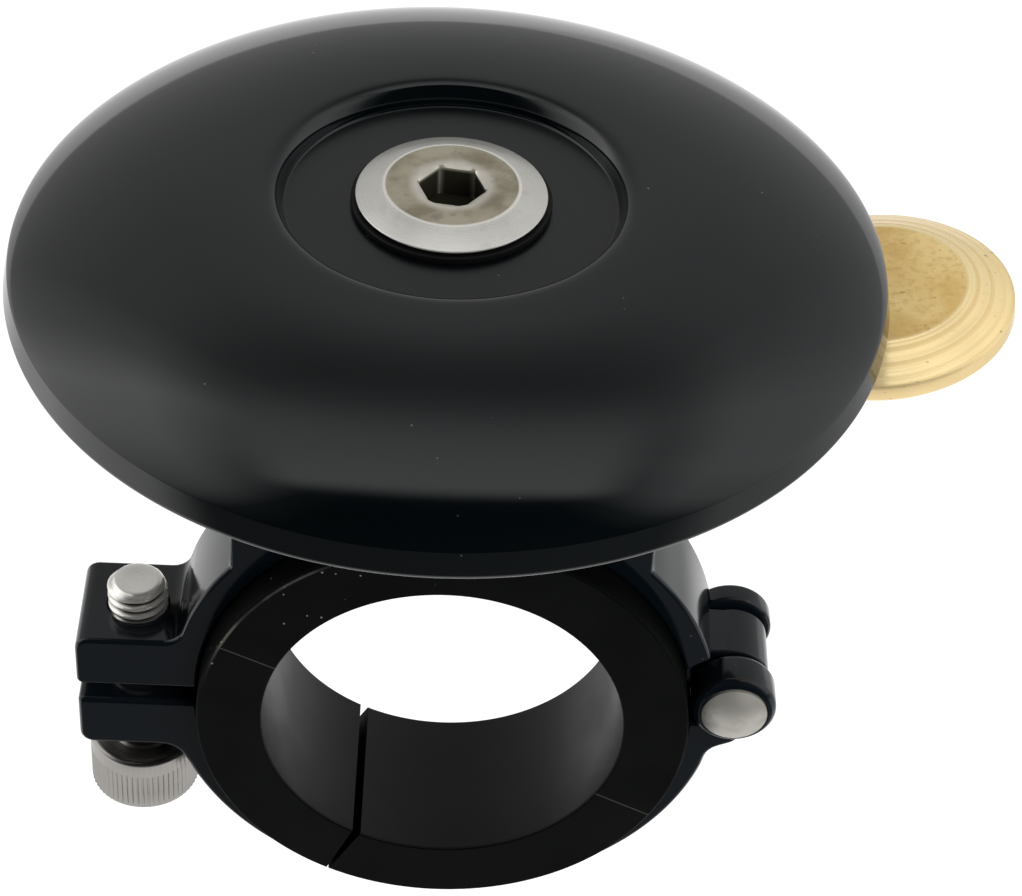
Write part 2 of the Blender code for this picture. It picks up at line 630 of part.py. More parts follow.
def make_hinge_pin():
    """The pin is turned about Z with its head up, then laid along the bar with its head in front."""
    seat = -PIN_HEAD_SEAT_Y + SEAT_GAP
    edge = seat + PIN_HEAD_EDGE
    dome_radius = (PIN_HEAD_RADIUS ** 2 + PIN_DOME_HEIGHT ** 2) / (2.0 * PIN_DOME_HEIGHT)
    spread = math.asin(PIN_HEAD_RADIUS / dome_radius)
    centre = edge + PIN_DOME_HEIGHT - dome_radius
    profile = []
    for index in range(6):
        angle = spread * index / 5.0
        profile.append((dome_radius * math.sin(angle), centre + dome_radius * math.cos(angle)))
    tail = -BACK_KNUCKLE[1] - SEAT_GAP
    profile += [
        (PIN_HEAD_RADIUS, seat),
        (PIN_RADIUS, seat),
        (PIN_RADIUS, tail),
        (PIN_TAIL_RADIUS, tail),
        (PIN_TAIL_RADIUS - PIN_TAIL_CHAMFER, tail - PIN_TAIL_LENGTH),
        (0.0, tail - PIN_TAIL_LENGTH),
    ]
    pin = turned("hinge_pin", profile, SCREW_SIDES)
    pin.rotation_euler.x = math.pi / 2.0
    pin.location = (HINGE_X * MM, 0.0, HINGE_Z * MM)
    finish_piece(pin, (0.70, 0.68, 0.64), 1.0, 0.22)


def make_clamp_screw(jaw):
    tip = CLAMP_SCREW_TIP_Z
    seat = CLAMP_SCREW_SEAT_Z
    foot = seat - CLAMP_SCREW_HEAD_HEIGHT
    profile = [
        (0.0, tip),
        (CLAMP_SCREW_RADIUS - CLAMP_SCREW_TIP_CHAMFER, tip),
        (CLAMP_SCREW_RADIUS, tip - CLAMP_SCREW_TIP_CHAMFER),
        (CLAMP_SCREW_RADIUS, seat),
        (CLAMP_SCREW_HEAD_RADIUS - CLAMP_SCREW_SEAT_CHAMFER, seat),
        (CLAMP_SCREW_HEAD_RADIUS, seat - CLAMP_SCREW_SEAT_CHAMFER),
        (CLAMP_SCREW_HEAD_RADIUS, foot + CLAMP_SCREW_FOOT_CHAMFER),
        (CLAMP_SCREW_HEAD_RADIUS - CLAMP_SCREW_FOOT_CHAMFER, foot),
        (0.0, foot),
    ]
    screw = turned("clamp_screw", profile, SCREW_SIDES)
    screw.location.x = CLAMP_SCREW_X * MM
    socket_top = foot + CLAMP_SCREW_SOCKET_DEPTH
    cut(screw, hex_socket("clamp_socket", CLAMP_SCREW_SOCKET, CLAMP_SCREW_X, foot - CUTTER_REACH, socket_top))
    ride_on(screw, jaw)
    finish_piece(screw, (0.60, 0.57, 0.53), 1.0, 0.38)


def ride_on(obj, parent):
    """Parents a piece that is already in place, and leaves it there."""
    obj.parent = parent
    obj.matrix_parent_inverse = Matrix.Translation(parent.location).inverted()


def main():
    for obj in list(bpy.data.objects):
        bpy.data.objects.remove(obj)
    new_collection(OBJECT_NAME)
    new_collection("cutters")
    make_dome()
    make_dome_screw()
    make_stack()
    make_spring_root()
    make_striker()
    make_shim()
    make_upper_clamp()
    jaw = link_piece(bpy.data.objects.new("jaw_hinge", None))
    jaw.location = (HINGE_X * MM, 0.0, HINGE_Z * MM)
    make_lower_clamp(jaw)
    make_clamp_screw(jaw)
    make_hinge_pin()


main()
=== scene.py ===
import json
import math

import bmesh
import bpy
from mathutils import Matrix, Vector


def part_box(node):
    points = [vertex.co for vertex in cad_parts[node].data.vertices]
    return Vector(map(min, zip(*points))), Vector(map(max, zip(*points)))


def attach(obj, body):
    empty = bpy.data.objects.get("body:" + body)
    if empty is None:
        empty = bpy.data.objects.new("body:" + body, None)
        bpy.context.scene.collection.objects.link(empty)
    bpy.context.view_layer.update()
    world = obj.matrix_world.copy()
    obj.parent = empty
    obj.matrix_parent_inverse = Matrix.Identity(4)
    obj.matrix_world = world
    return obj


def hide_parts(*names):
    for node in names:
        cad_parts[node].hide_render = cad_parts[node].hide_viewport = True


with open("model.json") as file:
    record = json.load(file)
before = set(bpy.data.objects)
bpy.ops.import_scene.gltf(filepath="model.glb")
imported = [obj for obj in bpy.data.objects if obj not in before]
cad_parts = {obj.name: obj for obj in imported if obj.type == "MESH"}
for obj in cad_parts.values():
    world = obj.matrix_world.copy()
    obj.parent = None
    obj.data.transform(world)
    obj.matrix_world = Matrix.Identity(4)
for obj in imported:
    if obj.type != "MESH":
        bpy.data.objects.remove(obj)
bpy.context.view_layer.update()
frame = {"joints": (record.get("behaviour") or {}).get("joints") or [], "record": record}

# A bicycle bell on a hinged bar clamp. Lengths below are in millimetres and heights are from the bar's
# axis; the mesh helpers turn them into metres. +Y runs along the bar, +X points to the hinge, +Z is up.
MM = 0.001
TAU = 2.0 * math.pi


def box_mm(node):
    low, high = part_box(node)
    return low / MM, high / MM


def joint_named(name):
    return next(joint for joint in frame["joints"] if joint["name"] == name)


# Places and sizes that come from the frame
DOME_LOW, DOME_HIGH = box_mm("dome")
SCREW_LOW, SCREW_HIGH = box_mm("dome_screw")
TOP_WASHER_LOW, TOP_WASHER_HIGH = box_mm("dome_top_washer")
SEAT_WASHER_LOW, SEAT_WASHER_HIGH = box_mm("dome_seat_washer")
POST_LOW, POST_HIGH = box_mm("dome_post")
SPRING_WASHER_LOW, SPRING_WASHER_HIGH = box_mm("spring_clamp_washer")
SHIM_LOW, SHIM_HIGH = box_mm("rubber_shim")
UPPER_LOW, UPPER_HIGH = box_mm("upper_clamp")
LOWER_LOW = box_mm("lower_clamp")[0]
PIN_LOW, PIN_HIGH = box_mm("hinge_pin")
BOLT_LOW, BOLT_HIGH = box_mm("clamp_screw")
EYE_LOW, EYE_HIGH = box_mm("spring_root")
BELL_X = (DOME_LOW.x + DOME_HIGH.x) / 2.0
RIM_RADIUS = (DOME_HIGH.x - DOME_LOW.x) / 2.0
RIM_Z = DOME_LOW.z
CROWN_Z = DOME_HIGH.z
BOLT_X = (BOLT_LOW.x + BOLT_HIGH.x) / 2.0
HINGE = Vector(joint_named("jaw_hinge")["pos_m"]) / MM
BEND = Vector(joint_named("striker_flex")["pos_m"]) / MM
BEND_AXIS = Vector(joint_named("striker_flex")["axis"])
STRIKER_ANGLE = math.atan2(BEND_AXIS.x, -BEND_AXIS.y)
STRIKER_RISE = math.radians(8.24)

# Bell shell
CREASE_INSET = 0.35
CREASE_RISE = 1.75
CROWN_RADIUS = 11.1
CROWN_POWER = 1.65
SHELL_THICKNESS = 1.5
RECESS_DEPTH = 1.35
RECESS_RADIUS = 9.7
STACK_BORE_RADIUS = 2.75
DOME_SIDES = 288

# Screw through the bell
SCREW_RADIUS = 2.4
SCREW_HEAD_RADIUS = 5.65
SCREW_FLAT_RADIUS = 3.95
SCREW_HEAD_HEIGHT = 0.8
SCREW_EDGE_HEIGHT = 0.65
SCREW_SOCKET = 3.5
SCREW_SOCKET_DEPTH = 2.0
SCREW_SOCKET_TURN = math.radians(21.5)

# Striker
KNOB_DISTANCE = 20.3
KNOB_RADIUS = 8.25
KNOB_FLAT_RADIUS = 5.5
KNOB_CONE_HEIGHT = 1.28
KNOB_EDGE_HEIGHT = 0.93
KNOB_THICKNESS = 3.2
KNOB_FOOT_RADIUS = 7.2
BLADE_THICKNESS = 0.8
BLADE_START = 0.3
BLADE_LENGTH = 23.6
BLADE_ROOT_HALF_WIDTH = 3.6
BLADE_END_HALF_WIDTH = 3.2
EYE_RADIUS = 5.2
EYE_TAB_END = 6.35
SEAT_GAP = 0.1
KNOB_HOLE_RADIUS = 1.6
KNOB_HOLE_DEPTH = 2.0
KNOB_WASHER_RADIUS = 3.2
KNOB_WASHER_HEIGHT = 0.5
KNOB_SCREW_RADIUS = 1.3
KNOB_SCREW_HEAD_RADIUS = 2.5
KNOB_SCREW_HEAD_HEIGHT = 1.5
KNOB_SCREW_SOCKET = 2.0

# Clamp
CLAMP_HALF_WIDTH = 3.75
CLAMP_BORE_RADIUS = 15.88
UPPER_RING_RADIUS = 17.7
LOWER_RING_RADIUS = 17.9
UPPER_EAR_BOTTOM = 0.45
UPPER_EAR_TOP = 4.45
LOWER_EAR_TOP = -0.85
LOWER_EAR_BOTTOM = -5.0
NECK_LEFT = -13.65
NECK_RIGHT = 12.75
NECK_SHOULDER_Z = 15.6
NECK_HEAD_HALF_WIDTH = 7.2
NECK_HEAD_Z = 21.2
NECK_TOP_Z = 22.4
BOSS_RADIUS = 6.2
EDGE_BEVEL = 0.4
LOWER_WEB_ANGLE = math.radians(16.0)
OUTER_KNUCKLE_RADIUS = 2.75
MIDDLE_KNUCKLE_RADIUS = 2.4
FRONT_KNUCKLE = (-4.6, -1.75)
MIDDLE_KNUCKLE = (-1.45, 2.75)
BACK_KNUCKLE = (3.05, 4.75)
FRONT_KNUCKLE_ROUND = 0.6
BACK_KNUCKLE_ROUND = 0.35
KNUCKLE_CLEARANCE = 0.3
KNUCKLE_GAP = 0.15
FRONT_POCKET_RADIUS = 4.4
EAR_HOLE_RADIUS = 2.05
HIDDEN_STEP = 0.03
PIN_BORE_RADIUS = 1.5
PIN_RADIUS = 1.2
PIN_HEAD_RADIUS = 2.12
PIN_HEAD_BORE_RADIUS = 2.2
PIN_HEAD_SEAT_Y = -3.9

# Clamp bolt
BOLT_RADIUS = 1.95
THREAD_DEPTH = 0.42
BOLT_HEAD_RADIUS = 3.6
BOLT_HEAD_HEIGHT = 4.4
BOLT_PITCH = 0.7
BOLT_SOCKET = 3.0
BOLT_SOCKET_DEPTH = 2.2
KNURL_COUNT = 60
KNURL_DEPTH = 0.13
KNURL_TOP_INSET = 1.35
KNURL_FOOT_INSET = 0.35

# Shim
SHIM_BORE_RADIUS = 11.65
SHIM_RADIUS = 15.85
SHIM_SLIT_WIDTH = 0.6
SHIM_SLIT_ANGLE = math.radians(242.5)

# The floor lies below the lowest point of the open jaw and the withdrawn bolt
FLOOR_Z = -66.0
FLOOR_RADIUS = 8000.0

# The fill light is a disc that shines from FILL_WAY, off to the front right, onto the knob's side of the bell
FILL_AIM = Vector((28.0, 0.0, RIM_Z))
FILL_WAY = Vector((0.5, -0.75, 0.5)).normalized()
FILL_DISTANCE = 350.0
FILL_DIAMETER = 300.0
FILL_POWER = 1.65

# Camera: it looks at AIM from CAMERA_DISTANCE away
AIM = Vector((3.53, 0.0, 18.91))
CAMERA_DISTANCE = 195.27
CAMERA_AZIMUTH = math.radians(1.56)
CAMERA_ELEVATION = math.radians(41.03)
CAMERA_ROLL = math.radians(3.376)
CAMERA_LENS = 111.26


# ---------------- mesh helpers

def rounded_path(points, closed=False, step=math.radians(15.0)):
    """A path whose corners (x, y, radius) are rounded by arcs. A corner given as (x, y) stays sharp."""
    path = []
    count = len(points)
    for index, point in enumerate(points):
        corner = Vector(point[:2])
        radius = point[2] if len(point) > 2 else 0.0
        at_end = not closed and index in (0, count - 1)
        if radius <= 0.0 or at_end:
            path.append(tuple(corner))
            continue
        before = Vector(points[index - 1][:2]) - corner
        after = Vector(points[(index + 1) % count][:2]) - corner
        between = before.angle(after)
        reach = radius / math.tan(between / 2.0)
        limit = 0.49 * min(before.length, after.length)
        if reach > limit:
            reach = limit
            radius = reach * math.tan(between / 2.0)
        first = corner + before.normalized() * reach
        last = corner + after.normalized() * reach
        inward = (before.normalized() + after.normalized()).normalized()
        centre = corner + inward * math.hypot(radius, reach)
        swing = math.pi - between
        steps = max(2, math.ceil(swing / step))
        start = first - centre
        turn = math.copysign(1.0, start.cross(last - centre))
        for part in range(steps + 1):
            angle = turn * swing * part / steps
            across = start.x * math.cos(angle) - start.y * math.sin(angle)
            up = start.x * math.sin(angle) + start.y * math.cos(angle)
            path.append((centre.x + across, centre.y + up))
    return path


def arc(radius, start, end, steps, centre=(0.0, 0.0)):
    points = []
    for index in range(steps + 1):
        angle = start + (end - start) * index / steps
        points.append((centre[0] + radius * math.cos(angle), centre[1] + radius * math.sin(angle)))
    return points


def smooth_curve(start, first_pull, last_pull, end, steps=12):
    """The points after the start of a cubic curve, up to its end."""
    points = []
    for index in range(1, steps + 1):
        part = index / steps
        rest = 1.0 - part
        weights = (rest ** 3, 3.0 * part * rest ** 2, 3.0 * part ** 2 * rest, part ** 3)
        weighted = list(zip(weights, (start, first_pull, last_pull, end)))
        across = sum(weight * corner[0] for weight, corner in weighted)
        up = sum(weight * corner[1] for weight, corner in weighted)
        points.append((across, up))
    return points


def new_piece(name, work):
    """Makes an object of a finished bmesh, and frees the bmesh."""
    bmesh.ops.recalc_face_normals(work, faces=work.faces)
    mesh = bpy.data.meshes.new(name)
    work.to_mesh(mesh)
    work.free()
    piece = bpy.data.objects.new(name, mesh)
    bpy.context.scene.collection.objects.link(piece)
    return piece


def join_rows(work, rows, closed):
    """Faces between rows of vertices that go round; a row of one vertex is a pole."""
    pairs = list(zip(rows, rows[1:]))
    if closed:
        pairs.append((rows[-1], rows[0]))
    for upper, lower in pairs:
        count = max(len(upper), len(lower))
        for index in range(count):
            after = (index + 1) % count
            corners = (
                upper[index % len(upper)],
                lower[index % len(lower)],
                lower[after % len(lower)],
                upper[after % len(upper)],
            )
            work.faces.new(list(dict.fromkeys(corners)))


def spin(name, profile, sides, warp=None, closed=False):
    """Turns a profile of (radius, height) about local Z. warp(radius, height, angle) can shape its radius."""
    work = bmesh.new()
    rows = []
    for radius, height in profile:
        if radius < 1e-6:
            rows.append([work.verts.new((0.0, 0.0, height * MM))])
            continue
        row = []
        for index in range(sides):
            angle = TAU * index / sides
            reach = (warp(radius, height, angle) if warp else radius) * MM
            row.append(work.verts.new((reach * math.cos(angle), reach * math.sin(angle), height * MM)))
        rows.append(row)
    join_rows(work, rows, closed)
    return new_piece(name, work)


def split_ring(name, section, gap_angle, gap_width, steps):
    """Sweeps a closed section of (radius, y) round the bar's axis and leaves a gap of gap_width(radius)."""
    work = bmesh.new()
    rows = []
    for index in range(steps + 1):
        row = []
        for radius, along in section:
            half_gap = gap_width(radius) / 2.0 / radius
            angle = gap_angle + half_gap + (TAU - 2.0 * half_gap) * index / steps
            place = (radius * math.cos(angle) * MM, along * MM, radius * math.sin(angle) * MM)
            row.append(work.verts.new(place))
        rows.append(row)
    join_rows(work, rows, False)
    work.faces.new(rows[0])
    work.faces.new(list(reversed(rows[-1])))
    return new_piece(name, work)


def plate(name, outline, half_thickness, holes=(), upright=True):
    """An outline in XZ (or XY when it isn't upright), thickened evenly to both sides."""
    work = bmesh.new()

    def place(across, up, depth):
        return (across * MM, depth * MM, up * MM) if upright else (across * MM, up * MM, depth * MM)

    for loop in (outline, *holes):
        front = [work.verts.new(place(x, y, -half_thickness)) for x, y in loop]
        back = [work.verts.new(place(x, y, half_thickness)) for x, y in loop]
        for index in range(len(loop)):
            after = (index + 1) % len(loop)
            work.faces.new((front[index], front[after], back[after], back[index]))
    if holes:
        for depth in (-half_thickness, half_thickness):
            level = depth * MM
            axis = 1 if upright else 2
            edges = [edge for edge in work.edges if all(abs(v.co[axis] - level) < 1e-9 for v in edge.verts)]
            bmesh.ops.triangle_fill(work, edges=edges, use_beauty=True)
    else:
        count = len(outline)
        work.verts.ensure_lookup_table()
        work.faces.new([work.verts[index] for index in range(count)])
        work.faces.new([work.verts[count + index] for index in range(count)])
    return new_piece(name, work)


def rod(name, radius, start, end, axis="Y", rounding=0.0, sides=64):
    """A cylinder about the Z or the Y axis, between two places along it, with rounded ends."""
    profile = rounded_path(
        [(0.0, end), (radius, end, rounding), (radius, start, rounding), (0.0, start)]
    )
    piece = spin(name, profile, sides)
    if axis == "Y":
        piece.data.transform(Matrix.Rotation(-math.pi / 2.0, 4, "X"))
    return piece


def block(name, low, high):
    work = bmesh.new()
    bmesh.ops.create_cube(work, size=1.0)
    size = Vector(high) - Vector(low)
    middle = (Vector(high) + Vector(low)) / 2.0
    for vertex in work.verts:
        vertex.co = Vector((vertex.co[axis] * size[axis] + middle[axis] for axis in range(3))) * MM
    return new_piece(name, work)


def combine(piece, tool, operation):
    """Cuts the tool out of the piece or joins it on, and removes the tool."""
    modifier = piece.modifiers.new(operation, "BOOLEAN")
    modifier.operation = operation
    modifier.solver = "MANIFOLD"
    modifier.object = tool
    apply_modifiers(piece)
    bpy.data.objects.remove(tool)


def cut(piece, tool):
    combine(piece, tool, "DIFFERENCE")


def join(piece, tool):
    combine(piece, tool, "UNION")


def apply_modifiers(piece):
    bpy.context.view_layer.update()
    graph = bpy.context.evaluated_depsgraph_get()
    mesh = bpy.data.meshes.new_from_object(piece.evaluated_get(graph))
    piece.modifiers.clear()
    piece.data = mesh


def bevel(piece, width, segments=3):
    modifier = piece.modifiers.new("bevel", "BEVEL")
    modifier.width = width * MM
    modifier.segments = segments
    modifier.limit_method = "ANGLE"
    modifier.angle_limit = math.radians(35.0)
    apply_modifiers(piece)


def smooth(piece, angle):
    piece.data.shade_smooth()
    piece.data.set_sharp_from_angle(angle=angle)
    weighted = piece.modifiers.new("weighted_normals", "WEIGHTED_NORMAL")
    weighted.keep_sharp = True


def stand_for(piece, node, material, angle=math.radians(32.0)):
    """The piece is smoothed and takes a frame node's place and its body."""
    smooth(piece, angle)
    record = frame["record"]
    body = next(body for body, nodes in record["behaviour"]["bodies"].items() if node in nodes)
    piece.data.materials.clear()
    piece.data.materials.append(material)
    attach(piece, body)
    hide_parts(node)


def cover(piece, material, chosen):
    """Gives a second material to the faces for which chosen(centre in mm, normal) is true."""
    piece.data.materials.append(material)
    for face in piece.data.polygons:
        if chosen(face.center / MM, face.normal):
            face.material_index = 1


def hexagonal(across_flats):
    """A warp that turns the rows inside a socket into hexagons, with flats at 0, 60, 120 degrees..."""
    flat = across_flats / 2.0

    def warp(radius, height, angle):
        if radius > flat + 1e-6:
            return radius
        within = (angle + math.pi / 6.0) % (math.pi / 3.0) - math.pi / 6.0
        return radius / math.cos(within)

    return warp


# ---------------- material helpers

class NodeTree:
    """Short calls that add nodes to a tree. Their values are numbers or other nodes' outputs."""

    def __init__(self, tree):
        self.tree = tree

    def node(self, kind, **inputs):
        made = self.tree.nodes.new(kind)
        for key, value in inputs.items():
            self.feed(made.inputs[key.replace("_", " ")], value)
        return made

    def feed(self, socket, value):
        if isinstance(value, bpy.types.NodeSocket):
            self.tree.links.new(value, socket)
        else:
            socket.default_value = value

    def math(self, operation, first, second=0.0):
        made = self.tree.nodes.new("ShaderNodeMath")
        made.operation = operation
        self.feed(made.inputs[0], first)
        self.feed(made.inputs[1], second)
        return made.outputs[0]

    def times(self, first, second):
        return self.math("MULTIPLY", first, second)

    def ramp(self, value, low, high, start=0.0, end=1.0):
        """Maps low..high smoothly to start..end."""
        made = self.tree.nodes.new("ShaderNodeMapRange")
        made.interpolation_type = "SMOOTHSTEP"
        for index, entry in enumerate((value, low, high, start, end)):
            self.feed(made.inputs[index], entry)
        return made.outputs[0]


class Shader(NodeTree):
    """A Principled material and short calls for the nodes that feed it."""

    def __init__(self, name, colour, metallic, roughness):
        self.material = bpy.data.materials.new(name)
        self.material.use_nodes = True
        super().__init__(self.material.node_tree)
        self.principled = self.tree.nodes["Principled BSDF"]
        self.set("Base Color", (*colour, 1.0))
        self.set("Metallic", metallic)
        self.set("Roughness", roughness)

    def set(self, socket, value):
        self.principled.inputs[socket].default_value = value

    def link(self, output, socket):
        self.tree.links.new(output, self.principled.inputs[socket])

    def place(self, scale=(1.0, 1.0, 1.0)):
        """The surface point in the object's own frame, in metres, stretched by a scale."""
        coordinates = self.tree.nodes.new("ShaderNodeTexCoord").outputs["Object"]
        return self.node("ShaderNodeMapping", Vector=coordinates, Scale=scale).outputs["Vector"]

    def noise(self, scale, vector, detail=3.0, roughness=0.55):
        made = self.node("ShaderNodeTexNoise", Vector=vector, Scale=scale, Detail=detail, Roughness=roughness)
        return made.outputs[0]

    def specks(self, vector, scale, size):
        """Small round marks, 1 inside and 0 outside, about one in three cells of the pattern."""
        made = self.node("ShaderNodeTexVoronoi", Vector=vector, Scale=scale)
        near = self.ramp(made.outputs["Distance"], size, size * 0.6)
        chosen = self.node("ShaderNodeSeparateColor", Color=made.outputs["Color"]).outputs[0]
        return self.times(near, self.math("GREATER_THAN", chosen, 0.66))

    def mix(self, factor, first, second):
        made = self.tree.nodes.new("ShaderNodeMix")
        made.data_type = "RGBA"
        self.feed(made.inputs[0], factor)
        self.feed(made.inputs[6], first if isinstance(first, bpy.types.NodeSocket) else (*first, 1.0))
        self.feed(made.inputs[7], second if isinstance(second, bpy.types.NodeSocket) else (*second, 1.0))
        return made.outputs[2]

    def line_mark(self, vector, start, end, half_width):
        """A thin straight mark on a face that stands in XZ, between two points in millimetres."""
        run = Vector(end) - Vector(start)
        along = run.normalized()
        parts = self.node("ShaderNodeSeparateXYZ", Vector=vector)
        across = self.math("SUBTRACT", parts.outputs["X"], start[0] * MM)
        up = self.math("SUBTRACT", parts.outputs["Z"], start[1] * MM)
        ahead = self.math("ADD", self.times(across, along.x), self.times(up, along.y))
        aside = self.math("SUBTRACT", self.times(across, along.y), self.times(up, along.x))
        thin = self.ramp(self.math("ABSOLUTE", aside), half_width * MM, half_width * 0.4 * MM)
        begun = self.math("GREATER_THAN", ahead, 0.0)
        ended = self.math("LESS_THAN", ahead, run.length * MM)
        return self.times(thin, self.times(begun, ended))

    def radius_from_axis(self, vector, axes=("X", "Y")):
        parts = self.node("ShaderNodeSeparateXYZ", Vector=vector)
        squares = [self.math("POWER", parts.outputs[axis], 2.0) for axis in axes]
        return self.math("POWER", self.math("ADD", *squares), 0.5)

    def lathe_rings(self, radius, pitch, vector, wobble):
        """A ring pattern along the radius, as a lathe tool leaves it, from 0 to 1."""
        along = self.math("DIVIDE", radius, pitch)
        uneven = self.times(self.noise(90.0, vector, detail=2.0), wobble)
        stripes = self.tree.nodes.new("ShaderNodeTexNoise")
        stripes.noise_dimensions = "1D"
        self.feed(stripes.inputs["W"], self.math("ADD", along, uneven))
        self.feed(stripes.inputs["Scale"], 1.0)
        self.feed(stripes.inputs["Detail"], 4.0)
        return stripes.outputs[0]

    def bump(self, height, strength, distance):
        made = self.node("ShaderNodeBump", Height=height, Strength=strength, Distance=distance)
        self.link(made.outputs["Normal"], "Normal")


# ---------------- materials

def bell_lacquer(name, specular_level):
    """Gloss black lacquer with faint orange peel and a little dust."""
    colour = (0.0006, 0.0016, 0.002)
    shader = Shader(name, colour, 0.0, 0.08)
    shader.set("Specular IOR Level", specular_level)
    point = shader.place()
    dust = shader.specks(point, 700.0, 0.055)
    dust = shader.times(dust, shader.ramp(shader.noise(60.0, point), 0.45, 0.6))
    shader.link(shader.mix(dust, colour, (0.12, 0.12, 0.115)), "Base Color")
    haze = shader.ramp(shader.noise(45.0, point), 0.35, 0.75, 0.07, 0.1)
    radius = shader.radius_from_axis(point)
    in_recess = shader.ramp(radius, (RECESS_RADIUS - 0.02) * MM, (RECESS_RADIUS - 0.12) * MM, 0.0, 0.22)
    haze = shader.math("ADD", haze, in_recess)
    shader.link(shader.math("ADD", haze, shader.times(dust, 0.4)), "Roughness")
    shader.bump(shader.noise(900.0, point, detail=2.0), 0.02, 0.00004)
    return shader.material


def clamp_paint(name, colour, specular_level):
    """Glossy blue-black paint over a casting, with soft flow marks and dust."""
    shader = Shader(name, colour, 0.0, 0.1)
    shader.set("Specular IOR Level", specular_level)
    point = shader.place()
    dust = shader.specks(point, 900.0, 0.05)
    shader.link(shader.mix(dust, colour, (0.08, 0.08, 0.08)), "Base Color")
    haze = shader.ramp(shader.noise(120.0, point), 0.3, 0.7, 0.08, 0.16)
    shader.link(shader.math("ADD", haze, shader.times(dust, 0.5)), "Roughness")
    shader.bump(shader.noise(420.0, point, detail=2.0), 0.06, 0.00008)
    return shader.material


def rubber_bore():
    """The smooth bore of the shim, moulded glossier than its faces."""
    shader = Shader("black_rubber_bore", (0.006, 0.0062, 0.0062), 0.0, 0.4)
    shader.set("Specular IOR Level", 0.2)
    point = shader.place()
    shader.link(shader.ramp(shader.noise(160.0, point), 0.3, 0.7, 0.34, 0.46), "Roughness")
    shader.bump(shader.noise(1500.0, point, detail=2.0), 0.08, 0.00005)
    return shader.material


def black_rubber():
    """Matt moulded rubber: fine grain, dust, a rubbed edge, and hair cracks on its front face."""
    shader = Shader("black_rubber", (0.0022, 0.003, 0.0025), 0.0, 0.6)
    shader.set("Specular IOR Level", 0.035)
    point = shader.place()
    parts = shader.node("ShaderNodeSeparateXYZ", Vector=point)
    radius = shader.radius_from_axis(point, ("X", "Z"))
    to_left = shader.ramp(parts.outputs["X"], 0.0, -4.0 * MM)
    upper_left = shader.times(to_left, shader.ramp(parts.outputs["Z"], 2.0 * MM, 6.0 * MM))
    mottle = shader.noise(160.0, point)
    ridge = shader.math("ABSOLUTE", shader.math("SUBTRACT", radius, (SHIM_RADIUS - 0.22) * MM))
    rubbed = shader.times(shader.ramp(ridge, 0.14 * MM, 0.03 * MM), upper_left)
    rubbed = shader.times(rubbed, shader.ramp(mottle, 0.45, 0.62, 0.05, 0.45))
    dust = shader.specks(point, 1300.0, 0.12)
    dust = shader.times(dust, upper_left)
    cracks = shader.math(
        "MAXIMUM",
        shader.line_mark(point, (-14.42, 6.5), (-10.6, 4.67), 0.06),
        shader.line_mark(point, (10.2, -5.67), (13.96, -7.59), 0.06),
    )
    on_front = shader.math("LESS_THAN", parts.outputs["Y"], SHIM_LOW.y * MM * 0.98)
    cracks = shader.times(cracks, on_front)
    worn = shader.math("MAXIMUM", shader.math("MAXIMUM", rubbed, dust), shader.times(cracks, 0.22))
    shade = shader.mix(mottle, (0.0008, 0.0012, 0.001), (0.0015, 0.0019, 0.0016))
    shader.link(shader.mix(worn, shade, (0.16, 0.17, 0.15)), "Base Color")
    shader.link(shader.ramp(mottle, 0.3, 0.7, 0.5, 0.65), "Roughness")
    shader.bump(shader.noise(1500.0, point, detail=2.0), 0.12, 0.00006)
    return shader.material


def turned_brass():
    """Bare brass with lathe rings; the flat in its middle is duller, pitted and scratched."""
    shader = Shader("turned_brass", (0.97, 0.78, 0.38), 0.5, 0.25)
    point = shader.place()
    radius = shader.radius_from_axis(point)
    rings = shader.lathe_rings(radius, 0.00045, point, 0.25)
    on_flat = shader.ramp(radius, KNOB_FLAT_RADIUS * MM, (KNOB_FLAT_RADIUS - 0.25) * MM)
    stain = shader.noise(220.0, point, detail=6.0)
    bright = shader.mix(stain, (1.0, 0.83, 0.46), (0.98, 0.73, 0.35))
    bright = shader.mix(shader.ramp(rings, 0.52, 0.68, 0.0, 0.5), bright, (0.78, 0.55, 0.22))
    fine = shader.noise(2600.0, point, detail=4.0)
    dull = shader.mix(shader.ramp(stain, 0.35, 0.65), (1.0, 0.76, 0.34), (0.84, 0.57, 0.20))
    dull = shader.mix(shader.ramp(fine, 0.46, 0.66, 0.0, 0.5), dull, (0.70, 0.46, 0.15))
    colour = shader.mix(on_flat, bright, dull)
    on_edge = shader.ramp(radius, (KNOB_RADIUS - 0.2) * MM, (KNOB_RADIUS - 0.05) * MM)
    colour = shader.mix(on_edge, colour, (0.76, 0.58, 0.29))
    stretched = shader.place((0.7, 1.0, 1.0))
    pits = shader.ramp(shader.noise(2600.0, stretched, detail=2.0), 0.66, 0.76, 0.0, 0.7)
    shader.link(shader.mix(pits, colour, (0.33, 0.20, 0.06)), "Base Color")
    turned = shader.ramp(rings, 0.3, 0.7, 0.2, 0.34)
    shader.link(shader.math("ADD", turned, shader.times(on_flat, 0.16)), "Roughness")
    ring_height = shader.times(rings, shader.math("SUBTRACT", 1.0, shader.times(on_flat, 0.75)))
    grain = shader.times(shader.noise(700.0, point, detail=4.0), shader.times(on_flat, 0.4))
    shader.bump(shader.math("ADD", ring_height, grain), 0.4, 0.00008)
    return shader.material


